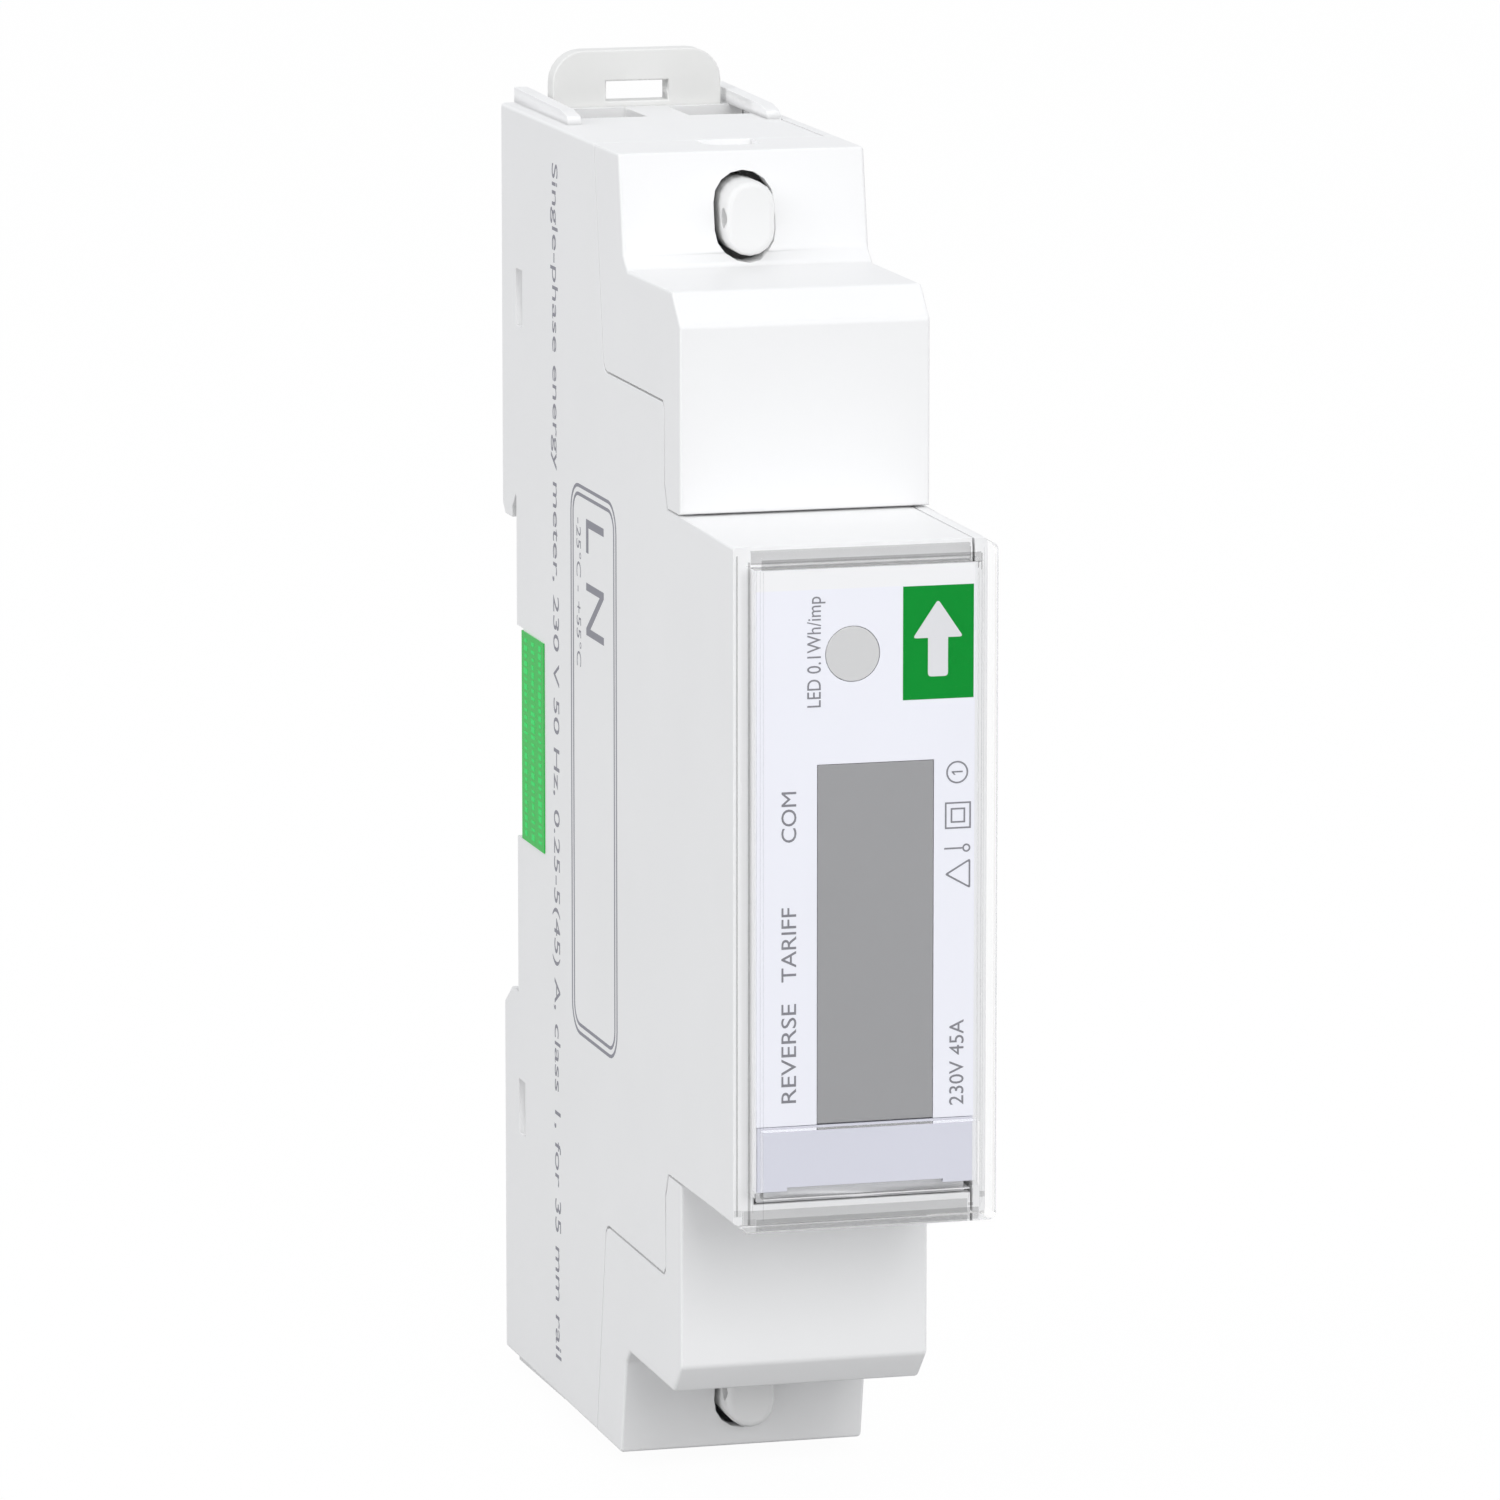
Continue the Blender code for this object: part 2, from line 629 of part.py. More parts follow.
def clip_spring():
    """Compression spring between the clip's seat and the housing's stop."""
    radius = (spring_diameter - spring_wire) / 2
    steps = 14
    sides = 6
    low = spring_seat + 0.1 + spring_wire / 2
    rise = spring_length - spring_wire
    bm = bmesh.new()
    rings = []
    for i in range(spring_turns * steps + 1):
        angle = 2 * math.pi * i / steps
        out = Vector((math.cos(angle), math.sin(angle), 0))
        centre = Vector((clip_x, -clip_depth, low + rise * i / (spring_turns * steps))) + out * radius
        ring = []
        for k in range(sides):
            turn = 2 * math.pi * k / sides
            offset = (out * math.cos(turn) + Vector((0, 0, 1)) * math.sin(turn)) * spring_wire / 2
            ring.append(bm.verts.new(centre + offset))
        rings.append(ring)
    for near, far in zip(rings, rings[1:]):
        for k in range(sides):
            j = (k + 1) % sides
            bm.faces.new((near[k], near[j], far[j], far[k]))
    bm.faces.new(rings[0])
    bm.faces.new(rings[-1])
    bmesh.ops.recalc_face_normals(bm, faces=bm.faces)
    piece("clip_spring", bm, finish("clip_spring", (0.62, 0.62, 0.62), 0.3, 1.0), round_piece=True)


# ---------------------------------------------------------------- front
def clear_window():
    """Clear front: side walls and a pane, open over the key."""
    front = housing_depth + seam_gap + clear_depth - 0.1
    rear = housing_depth + seam_gap
    cap = box((-half_width, half_width), (-front, -rear), (-window_half, window_half))

    def outer(start, end):
        """Edges round the front face and the four edges along y."""
        front_edge = start.y < -front + 0.01 and end.y < -front + 0.01
        return front_edge or abs(start.y - end.y) > 0.5

    soften(cap, outer, 0.4, 3)
    low, high = -window_half + clear_bottom, window_half - clear_top
    hollow = box((-half_width + clear_side, half_width - clear_side), (-front + pane, 0), (low, high))
    opening = box((-key_half_width - 0.12, key_half_width + 0.12), (-front - 1, -rear),
                  (low - 0.01, key_z[1] + 0.1))
    piece("clear_window", cap, finish("clear_window", (0.93, 0.94, 0.94), 0.08, alpha=0.35),
          cuts=[hollow, opening])


def front_bezel():
    """Inner frame behind the clear window: carries label, display, light guide and key."""
    x = (-bezel_half_width, bezel_half_width)
    flange = (-half_width + clear_side + 0.1, half_width - clear_side - 0.1)
    low, high = -window_half + clear_bottom + 0.1, window_half - clear_top - 0.1
    skirt_front = -bezel_front + bezel_flange - 0.03
    skirt = box(x, (skirt_front, -bezel_rear), (-bezel_half_height, bezel_half_height))
    plate = box(flange, (-bezel_front, -bezel_front + bezel_flange), (low, high))
    inner, room = bezel_room
    through = (-bezel_front - 1, -bezel_rear)
    half, rise = key_stem[0] + fit_gap, key_stem[1] + fit_gap
    cuts = [box((-inner, inner), (-bezel_inner, 0), (-room, room)),
            box((lcd_x[0] - 0.1, lcd_x[1] + 0.1), through, (lcd_z[0] - 0.1, lcd_z[1] + 0.1)),
            prism(circle(guide_centre, guide_radius + 0.1, 32), "y", through),
            box((-key_half_width - 0.1, key_half_width + 0.1), (-bezel_front - 1, -bezel_front + 1.0),
                (key_z[0] - 0.1, key_z[1] + 0.2)),
            box((-half, half), through, (stem_z - rise, stem_z + rise))]
    piece("front_bezel", skirt, finish("front_bezel", (0.86, 0.86, 0.86), 0.5), cuts=cuts, joins=[plate])


def face_label():
    """Printed film on the bezel, with openings for the display, the light guide and the key."""
    side = half_width - clear_side - 0.35
    film = box((-side, side), (-label_plane, -bezel_front - layer_gap), (key_z[1] + 0.13, label_top))
    cuts = [box((lcd_x[0] - 0.03, lcd_x[1] + 0.03), (-label_plane - 1, -bezel_front),
                (key_z[0], lcd_z[1] + 0.03)),
            prism(circle(guide_centre, guide_radius + 0.03, 40), "y", (-label_plane - 1, -bezel_front))]
    piece("face_label", film, finish("face_label", (0.84, 0.85, 0.92), 0.35), cuts=cuts)


def scroll_key():
    """Wide key under the display; its stem presses the switch on the display board."""
    low, high = key_z
    relief, rise = key_relief
    outline = [(-key_half_width, low), (-relief, low), (-relief, low + rise), (relief, low + rise),
               (relief, low), (key_half_width, low), (key_half_width, high), (-key_half_width, high)]
    face = prism(outline, "y", (-label_plane, -label_plane + key_plate))
    half, reach = key_stem
    neck = box((-half, half), (-label_plane + key_plate - 0.1, -bezel_inner + 0.3),
               (stem_z - reach, stem_z + reach))
    flange = box((-half - 0.5, half + 0.5), (-bezel_inner + 0.1, -bezel_inner + 0.6),
                 (stem_z - reach - 0.35, stem_z + reach + 0.45))
    button = prism(circle((0, stem_z), button_radius, 16), "y",
                   (-bezel_inner + 0.5, -display_face - switch_height - 1.1))
    piece("scroll_key", face, finish("scroll_key", (0.68, 0.69, 0.76), 0.4),
          joins=[neck, flange, button], origin=(0, -label_plane, stem_z))


def light_guide():
    """Clear rod that carries the pulse lamp's light to the label."""
    rear = display_face + 1.4
    rod, collar = guide_radius - 0.2, guide_radius + guide_collar
    profile = [(-rear, 0), (-rear, rod), (-bezel_inner + 0.7, rod), (-bezel_inner + 0.7, collar),
               (-bezel_inner + 0.1, collar), (-bezel_inner + 0.1, guide_radius),
               (-label_plane, guide_radius), (-label_plane, 0)]
    piece("light_guide", turned(profile, guide_centre, 32),
          finish("light_guide", (0.66, 0.66, 0.66), 0.3), round_piece=True)


def display():
    """Liquid crystal glass, the light spreader behind it and the two contact strips."""
    glass_rear = bezel_inner - 0.3 - lcd_glass
    rear_x = (lcd_x[0] - lcd_border - 0.25, bezel_room[0] - fit_gap)
    rear_z = (lcd_z[0] - 0.85, lcd_z[1] + lcd_border)
    rear = box(rear_x, (-glass_rear - lcd_glass, -glass_rear), rear_z)
    front = box(lcd_x, (-label_plane + 0.02, -glass_rear - lcd_glass + 0.3),
                (lcd_z[0] + 0.03, lcd_z[1]))
    piece("lcd_glass", rear, finish("lcd_glass", (0.35, 0.35, 0.36), 0.25), joins=[front])
    strip = 1.1
    spreader = box((rear_x[0] + strip + 0.5, rear_x[1] - strip - 0.5),
                   (-glass_rear + fit_gap, -display_face - 0.3),
                   (rear_z[0] + 0.3, rear_z[1] - 0.3))
    piece("lcd_backlight", spreader, finish("lcd_backlight", (0.90, 0.92, 0.95), 0.4))
    for name, low in (("contact_strip_left", rear_x[0] + 0.15),
                      ("contact_strip_right", rear_x[1] - 0.15 - strip)):
        rubber = box((low, low + strip), (-glass_rear + 0.1, -display_face - standoff),
                     (rear_z[0] + 0.5, rear_z[1] - 0.5))
        piece(name, rubber, finish(name, (0.25, 0.28, 0.32), 0.6))


def seal_label():
    """Thin green film folded round the rear edge of the left side."""
    x = -half_width - layer_gap
    rear = -seal_pocket_depth + layer_gap
    film = 0.08
    outline = [(x - film, -12.4), (x, -12.4), (x, rear), (-3.0, rear), (-3.0, rear + film),
               (x - film, rear + film)]
    piece("seal_label", prism(outline, "z", (seal_pocket[0] + 0.1, seal_pocket[1] - 0.1)),
          finish("seal_label", (0.02, 0.50, 0.07), 0.35))


# ---------------------------------------------------------------- boards and parts on them
def boards():
    """Main board beside the left wall, display board behind the bezel, and the link between them."""
    green = (0.03, 0.22, 0.10)
    y0, y1 = main_board_y
    tongue_end = -bezel_rear + 0.3
    outline = [(y1, -main_board_half), (y1, main_board_half), (y0, main_board_half),
               (y0, tongue_half), (tongue_end, tongue_half), (tongue_end, -tongue_half),
               (y0, -tongue_half), (y0, -main_board_half)]
    piece("main_board", prism(outline, "x", (board_face - board_thickness, board_face)),
          finish("main_board", green, 0.5))
    inner, half = bezel_room[0] - fit_gap, bezel_room[1] - fit_gap
    piece("display_board", box((-inner, inner), (-display_face, -display_board_rear), (-half, half)),
          finish("display_board", green, 0.5))
    rear = -display_board_rear
    header = box((board_low, board_low + 2.5), (rear + 0.2, rear + 3.8), (-6.5, 6.5))
    pins = [box((board_low + 0.9, board_low + 1.4), (rear + 3.7, rear + 5.4), (z - 0.25, z + 0.25))
            for z in range(-5, 6, 2)]
    piece("board_header", header, finish("board_header", (0.05, 0.05, 0.05), 0.5), joins=pins)


def chip(name, y, z, thickness, pins, pitch, along):
    """A moulded chip on the main board with a row of leads on two opposite sides."""
    base = board_low
    body = box((base + 0.1, base + 0.1 + thickness), y, z)
    low, high = (y, z) if along == "z" else (z, y)
    start = (high[0] + high[1]) / 2 - pitch * (pins - 1) / 2
    leads = []
    for i in range(pins):
        place = (start + pitch * i - 0.2, start + pitch * i + 0.2)
        reach = (low[0] - 0.8, low[1] + 0.8)
        sides = (reach, place) if along == "z" else (place, reach)
        leads.append(box((base, base + 0.3), *sides))
    piece(name, body, finish(name, (0.04, 0.04, 0.045), 0.55), joins=leads)


def pulse_lamp_and_switch():
    """The lamp behind the light guide and the switch behind the key, on the display board."""
    gx, gz = guide_centre
    board = -display_face - standoff
    piece("pulse_led", box((gx - 1.5, gx + 1.5), (board - 1.0, board), (gz - 0.8, gz + 0.8)),
          finish("pulse_led", (0.85, 0.25, 0.15), 0.3))
    front = -display_face - switch_height
    body = box((-3.0, 3.0), (front, board), (stem_z - 1.4, stem_z + 1.4))
    bore = prism(circle((0, stem_z), button_radius - 0.05, 16), "y", (front - 1, front + 1.2))
    piece("switch_body", body, finish("switch_body", (0.06, 0.06, 0.06), 0.5), cuts=[bore])
    plunger = prism(circle((0, stem_z), button_radius - 0.15, 16), "y", (front - 0.95, front + 0.7))
    piece("switch_plunger", plunger, finish("switch_plunger", (0.75, 0.2, 0.12), 0.5),
          origin=(0, front, stem_z), round_piece=True)


def upright_can(name, y, z, radius, high, colour, metallic):
    """A round part that stands on the main board, along x."""
    low, top = board_low, board_low + high
    bm = prism(circle((y, z), radius, 24), "x", (low, top))
    soften(bm, lambda a, b: a.x > top - 0.01 and b.x > top - 0.01, 0.5)
    piece(name, bm, finish(name, colour, 0.4, metallic), round_piece=True)


def power_parts():
    """Supply parts on the main board: capacitors, choke, varistor, fusible resistor, rectifier."""
    low = board_low
    film = box((low, low + 11), (-22, -16), (8, 21))
    soften(film, lambda a, b: True, 0.6)
    piece("film_capacitor", film, finish("film_capacitor", (0.75, 0.62, 0.08), 0.45))
    upright_can("electrolytic_capacitor", -29.5, 14.5, 4.0, 12.0, (0.08, 0.09, 0.20), 0.2)
    upright_can("input_choke", -30, -20, 3.5, 9.0, (0.10, 0.10, 0.10), 0.0)
    disc = prism(circle((low + 4.6, -18), 3.8, 28), "y", (-20.0, -17.0))
    soften(disc, lambda a, b: abs(a.y - b.y) < 0.01, 0.6)
    legs = [box((low, low + 3), (-18.7, -18.1), (z - 0.3, z + 0.3)) for z in (-20, -16)]
    piece("varistor", disc, finish("varistor", (0.05, 0.16, 0.35), 0.4), joins=legs, round_piece=True)
    resistor = prism(circle((low + 1.6, -25), 1.3, 16), "z", (-23, -16))
    legs = [box((low, low + 1.9), (-25.3, -24.7), (z, z + 0.6)) for z in (-23.4, -16.2)]
    piece("fuse_resistor", resistor, finish("fuse_resistor", (0.55, 0.65, 0.55), 0.5), joins=legs)
    chip("bridge_rectifier", (-29.5, -25.0), (-9.5, -4.5), 2.4, 2, 2.5, "z")


def logic_parts():
    """Metering chip, microcontroller, memory and crystal on the main board."""
    chip("metering_chip", (-22.0, -18.0), (-5.0, 5.0), 1.7, 8, 1.2, "z")
    chip("microcontroller", (-41.0, -33.0), (-4.0, 4.0), 1.2, 7, 1.0, "y")
    chip("memory_chip", (-41.0, -37.0), (8.5, 13.5), 1.4, 4, 1.2, "z")
    low = board_low
    can = prism(upright_slot((-39.0, -10.5), (3.6, 8.5), 6), "x", (low, low + 3.2))
    piece("crystal", can, finish("crystal", (0.75, 0.75, 0.76), 0.25, 1.0))


# ---------------------------------------------------------------- assembly
for old in list(bpy.data.objects):
    bpy.data.objects.remove(old, do_unlink=True)

frame = bpy.data.objects.new("meter", None)
frame.location = (0, rail_recess * MM, -rail_offset * MM)
bpy.context.scene.collection.objects.link(frame)

housing_shell()
side_cover()
front_bezel()
clear_window()
face_label()
seal_label()
scroll_key()
light_guide()
display()
boards()
pulse_lamp_and_switch()
power_parts()
logic_parts()
bars_and_shunt()
din_clip()
clip_spring()
for end, side in ENDS.items():
    terminal_block(f"terminal_block_{end}", side)
    terminal_cover(f"terminal_cover_{end}", side)
    for wire, x in terminal_x.items():
        terminal_cage(f"terminal_cage_{wire}_{end}", x, side)
        terminal_screw(f"terminal_screw_{wire}_{end}", x, side)
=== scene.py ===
import json
import math

import bmesh
import bpy
from mathutils import Matrix, Vector
from mathutils.bvhtree import BVHTree


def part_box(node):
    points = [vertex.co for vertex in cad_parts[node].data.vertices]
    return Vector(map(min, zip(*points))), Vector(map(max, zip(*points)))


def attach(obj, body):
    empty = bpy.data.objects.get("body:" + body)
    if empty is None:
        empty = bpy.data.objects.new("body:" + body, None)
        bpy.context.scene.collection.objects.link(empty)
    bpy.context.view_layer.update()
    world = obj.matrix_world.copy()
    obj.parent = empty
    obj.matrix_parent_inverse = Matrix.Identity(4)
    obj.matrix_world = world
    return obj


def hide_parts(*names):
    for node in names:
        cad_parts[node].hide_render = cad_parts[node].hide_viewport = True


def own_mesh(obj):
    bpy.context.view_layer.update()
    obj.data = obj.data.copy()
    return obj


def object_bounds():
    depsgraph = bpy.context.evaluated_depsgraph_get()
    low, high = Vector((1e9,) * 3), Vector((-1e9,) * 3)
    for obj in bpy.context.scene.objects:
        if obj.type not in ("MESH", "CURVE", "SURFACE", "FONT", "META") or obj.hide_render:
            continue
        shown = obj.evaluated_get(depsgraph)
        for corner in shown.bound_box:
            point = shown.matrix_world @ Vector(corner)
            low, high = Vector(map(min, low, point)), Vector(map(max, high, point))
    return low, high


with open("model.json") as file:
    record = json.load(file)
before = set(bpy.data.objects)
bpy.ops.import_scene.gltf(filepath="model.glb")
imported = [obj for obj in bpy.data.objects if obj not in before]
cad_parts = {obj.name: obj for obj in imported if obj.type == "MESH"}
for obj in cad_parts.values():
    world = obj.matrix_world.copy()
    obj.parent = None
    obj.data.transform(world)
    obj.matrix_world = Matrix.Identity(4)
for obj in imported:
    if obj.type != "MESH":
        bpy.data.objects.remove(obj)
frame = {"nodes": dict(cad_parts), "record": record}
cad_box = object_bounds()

# ------------------------------------------------------------------------------ studio
# The meter stands on a seamless pale sheet that runs far behind it, as in a catalogue studio.
# Softboxes high in front and at both sides leave the front brightest, the left side a light
# grey and the undersides a little darker.
mm = 0.001
scene = bpy.context.scene
scene.view_settings.view_transform = "Standard"
camera_azimuth, camera_elevation = math.radians(-15.31), math.radians(9.97)
camera_distance = 680.6 * mm
camera_aim = Vector((0.73, -28.81, 4.56)) * mm
camera_lens, camera_sensor = 235.5, 36.0
camera_reach = (0.05, 100)
sky_light, sky_white = 0.82, (0.97, 0.98, 1.0, 1.0)
sheet_half = 12.0
sheet_shade, sheet_dullness = 0.50, 0.9
sheet_glow = 1.03           # what the sheet shows of itself, so that it looks white
glow_share = 0.94           # the rest shows the meter's shadow
softboxes = (("front softbox", 2, 25, 1.3, 0.6, 4.7), ("left softbox", -80, 24, 1.3, 0.7, 4.2),
             ("right softbox", 80, 25, 1.2, 0.6, 1.2))     # azimuth, elevation, distance, size, power


def direction_of(azimuth, elevation):
    """The unit vector from the meter towards a place round it."""
    return Vector((math.sin(azimuth) * math.cos(elevation), -math.cos(azimuth) * math.cos(elevation),
                   math.sin(elevation)))


def add(tree, kind, inputs=None, **settings):
    """A node with its settings and input values; where a value is a socket it is linked."""
    made = tree.nodes.new(kind)
    for key, value in settings.items():
        setattr(made, key, value)
    for key, value in (inputs or {}).items():
        if isinstance(value, bpy.types.NodeSocket):
            tree.links.new(value, made.inputs[key])
        else:
            made.inputs[key].default_value = value
    return made


def softbox(name, azimuth, elevation, distance, size, power):
    """A square lamp that faces the meter."""
    lamp = bpy.data.lights.new(name, "AREA")
    lamp.size, lamp.energy = size, power
    holder = bpy.data.objects.new(name, lamp)
    scene.collection.objects.link(holder)
    away = direction_of(math.radians(azimuth), math.radians(elevation))
    holder.location = camera_aim + away * distance
    holder.rotation_mode = "QUATERNION"
    holder.rotation_quaternion = away.to_track_quat("Z", "Y")


camera = bpy.data.objects.new("camera", bpy.data.cameras.new("camera"))
scene.collection.objects.link(camera)
camera.data.lens, camera.data.sensor_width = camera_lens, camera_sensor
camera.data.clip_start, camera.data.clip_end = camera_reach
away = direction_of(camera_azimuth, camera_elevation)
camera.location = camera_aim + away * camera_distance
camera.rotation_mode = "QUATERNION"
camera.rotation_quaternion = away.to_track_quat("Z", "Y")
scene.camera = camera

for lamp in softboxes:
    softbox(*lamp)

world = bpy.data.worlds.new("studio")
scene.world = world
world.use_nodes = True
sky = world.node_tree.nodes["Background"]
sky.inputs["Strength"].default_value = sky_light
sky.inputs["Color"].default_value = sky_white

sheet_mesh = bpy.data.meshes.new("paper_sheet")
sheet_low = cad_box[0].z
sheet_mesh.from_pydata([(x * sheet_half, y * sheet_half, sheet_low) for x, y in
                        ((-1, -1), (1, -1), (1, 1), (-1, 1))], [], [(0, 1, 2, 3)])
sheet = bpy.data.objects.new("paper_sheet", sheet_mesh)
scene.collection.objects.link(sheet)
paper = bpy.data.materials.new("white paper")
paper.use_nodes = True
tree = paper.node_tree
shade = tree.nodes["Principled BSDF"]
shade.inputs["Base Color"].default_value = (sheet_shade, sheet_shade, sheet_shade, 1)
shade.inputs["Roughness"].default_value = sheet_dullness
glow = add(tree, "ShaderNodeEmission", {"Strength": sheet_glow})
seen = add(tree, "ShaderNodeLightPath")
looked_at = add(tree, "ShaderNodeMath", {0: seen.outputs["Is Camera Ray"],
                                         1: seen.outputs["Is Transmission Ray"]}, operation="MAXIMUM")
share = add(tree, "ShaderNodeMath", {0: looked_at.outputs[0], 1: glow_share}, operation="MULTIPLY")
blend = add(tree, "ShaderNodeMixShader", {0: share.outputs[0], 1: shade.outputs[0], 2: glow.outputs[0]})
tree.links.new(blend.outputs[0], tree.nodes["Material Output"].inputs["Surface"])
sheet_mesh.materials.append(paper)

# ------------------------------------------------------------------------------ housing
# The tub and its pressed-on side plate are moulded in white flame-proof polycarbonate, with a
# fine satin finish.  Here each is a copy of its solid with slightly rounded edges.
body_of = {node: body for body, nodes in frame["record"]["behaviour"]["bodies"].items() for node in nodes}
white = (0.885, 0.885, 0.885)
round_edge, round_steps = 0.06, 2
weld, flatness = 0.0005, 0.4            # mm and degrees within which a solid's triangles join
crease = 58                             # degrees above which an edge stays sharp to the eye
room = 2.2                              # rounds that the edges beside a round have to be long
speck, drift = 0.001, 0.08              # mm2 and mm that a rounded copy may stray from its solid


def sockets(group, names, way):
    """The group's own inputs or outputs; a colour where the value is a tuple."""
    for name, value in names.items():
        kind = "NodeSocketColor" if isinstance(value, tuple) else "NodeSocketFloat"
        group.interface.new_socket(name, in_out=way, socket_type=kind).default_value = value


def moulded_grain():
    """Fine spark-eroded grain with a broad, faint unevenness in colour and lustre."""
    group = bpy.data.node_groups.new("Moulded grain", "ShaderNodeTree")
    sockets(group, {"Colour": (0.8, 0.8, 0.8, 1.0), "Grain size mm": 0.2, "Lustre": 0.4,
                    "Mottling": 0.02}, "INPUT")
    sockets(group, {"Colour": (0.8, 0.8, 0.8, 1.0), "Roughness": 0.4, "Height": 0.0}, "OUTPUT")
    given = add(group, "NodeGroupInput").outputs
    place = add(group, "ShaderNodeTexCoord").outputs["Object"]
    per_metre = add(group, "ShaderNodeMath", {0: 1000.0, 1: given["Grain size mm"]}, operation="DIVIDE")
    fine = add(group, "ShaderNodeTexNoise", {"Vector": place, "Scale": per_metre.outputs[0], "Detail": 3.0})
    broad = add(group, "ShaderNodeTexNoise", {"Vector": place, "Scale": 90.0, "Detail": 2.0})
    swing = add(group, "ShaderNodeMapRange", {"Value": broad.outputs["Fac"], "From Min": 0.3,
                                              "From Max": 0.7, "To Min": 0.0, "To Max": 1.0})
    dimmer = add(group, "ShaderNodeMath", {0: swing.outputs[0], 1: given["Mottling"]},
                 operation="MULTIPLY")
    keep = add(group, "ShaderNodeMath", {0: 1.0, 1: dimmer.outputs[0]}, operation="SUBTRACT")
    tint = add(group, "ShaderNodeVectorMath", {0: given["Colour"], "Scale": keep.outputs[0]},
               operation="SCALE")
    dull = add(group, "ShaderNodeMath", {0: fine.outputs["Fac"], 1: 0.12, 2: given["Lustre"]},
               operation="MULTIPLY_ADD")
    add(group, "NodeGroupOutput", {"Colour": tint.outputs[0], "Roughness": dull.outputs[0],
                                   "Height": fine.outputs["Fac"]})
    return group


grain_group = moulded_grain()


def moulded(name, colour, lustre=0.38, grain=0.2, depth=0.006, mottling=0.015, ior=1.5):
    """A moulded plastic; depth is the grain's depth in millimetres."""
    material = bpy.data.materials.new(name)
    material.use_nodes = True
    tree = material.node_tree
    shader = tree.nodes["Principled BSDF"]
    shader.inputs["IOR"].default_value = ior
    skin = add(tree, "ShaderNodeGroup", node_tree=grain_group)
    skin.inputs["Colour"].default_value = (*colour, 1.0)
    skin.inputs["Grain size mm"].default_value = grain
    skin.inputs["Lustre"].default_value = lustre
    skin.inputs["Mottling"].default_value = mottling
    bump = add(tree, "ShaderNodeBump", {"Height": skin.outputs["Height"], "Distance": depth * mm,
                                        "Strength": 0.6})
    for output, socket in ((skin.outputs["Colour"], "Base Color"), (skin.outputs["Roughness"], "Roughness"),
                           (bump.outputs["Normal"], "Normal")):
        tree.links.new(output, shader.inputs[socket])
    return material


def mesh_object(name, mesh, material):
    """A new object in the scene with one material."""
    made = bpy.data.objects.new(name, mesh)
    scene.collection.objects.link(made)
    mesh.materials.clear()
    mesh.materials.append(material)
    return made


def settle(made):
    """The object with its modifiers worked into a plain mesh."""
    graph = bpy.context.evaluated_depsgraph_get()
    plain = bpy.data.meshes.new_from_object(made.evaluated_get(graph))
    made.modifiers.clear()
    made.data = plain
    return made


def stand_for(made, *nodes):
    """The object rides on the body of the nodes that it stands for, which are hidden."""
    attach(made, body_of[nodes[0]])
    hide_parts(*nodes)
    return made


def copy_of(node):
    """The node's solid as one welded bmesh with whole flat faces."""
    bm = bmesh.new()
    bm.from_mesh(frame["nodes"][node].data)
    bmesh.ops.remove_doubles(bm, verts=bm.verts, dist=weld * mm)
    bmesh.ops.dissolve_limit(bm, angle_limit=math.radians(flatness), verts=bm.verts, edges=bm.edges)
    return bm


def whole(mesh, node):
    """True if every part of the rounded copy lies on its solid and faces the same way."""
    solid = frame["nodes"][node].data
    tree = BVHTree.FromPolygons([v.co for v in solid.vertices], [p.vertices for p in solid.polygons])
    mesh.calc_loop_triangles()
    for piece in mesh.loop_triangles:
        middle = sum((mesh.vertices[i].co for i in piece.vertices), Vector()) / 3
        normal, gap = tree.find_nearest(middle)[1::2]
        if piece.area > speck * mm * mm and (normal.dot(piece.normal) < -0.05 or gap > drift * mm):
            return False
    return True


def soft_edged(node, material, radius=round_edge, sharp=28, folds=()):
    """A smooth-shaded copy of a node whose sharp outer edges are rounded, where they have room.
    A fold is a point in mm and a direction: a cut there keeps a crease's shade short."""
    bm = copy_of(node)
    for point, normal in folds:
        bmesh.ops.bisect_plane(bm, geom=bm.verts[:] + bm.edges[:] + bm.faces[:], plane_co=Vector(point) * mm,
                               plane_no=normal)
    weight = bm.edges.layers.float.new("bevel_weight_edge")
    for edge in bm.edges:
        roomy = all(near.calc_length() > room * radius * mm for v in edge.verts for near in v.link_edges)
        if len(edge.link_faces) == 2 and edge.is_convex and roomy:
            edge[weight] = float(edge.calc_face_angle() > math.radians(sharp))
    mesh = bpy.data.meshes.new(node + "_skin")
    bm.to_mesh(mesh)
    bm.free()
    mesh.shade_smooth()
    made = mesh_object(node + "_skin", mesh, material)
    for width in (radius, radius / 2, radius / 4):
        bevel = made.modifiers.new("rounding", "BEVEL")
        bevel.width, bevel.segments, bevel.limit_method = width * mm, round_steps, "WEIGHT"
        bevel.use_clamp_overlap = False
        graph = bpy.context.evaluated_depsgraph_get()
        rounded = bpy.data.meshes.new_from_object(made.evaluated_get(graph))
        made.modifiers.clear()
        if whole(rounded, node):
            made.data = rounded
            break
    made.data.set_sharp_from_angle(angle=math.radians(crease))
    flat = made.modifiers.new("flat faces", "WEIGHTED_NORMAL")
    flat.keep_sharp = True
    return stand_for(settle(made), node)


white_plastic = moulded("white polycarbonate", white)
for node in ("housing_shell", "side_cover"):
    soft_edged(node, white_plastic)

# ------------------------------------------------------------------------------ side print
# The left wall carries a long line of type data, and a double frame with two large marks and
# the working temperature.  They are pad-printed in grey; here each is a skin of ink.
ink_height = 0.012
ink_grey = (0.30, 0.30, 0.335)
rear_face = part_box("side_cover")[1].y / mm
mid_height = (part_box("side_cover")[0].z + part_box("side_cover")[1].z) / 2 / mm
left_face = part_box("housing_shell")[0].x / mm
cap_height = 0.7            # of a letter, in parts of the type size
data_line = "Single-phase energy meter, 230 V 50 Hz, 0.25-5(45) A, class 1, for 35 mm rail"


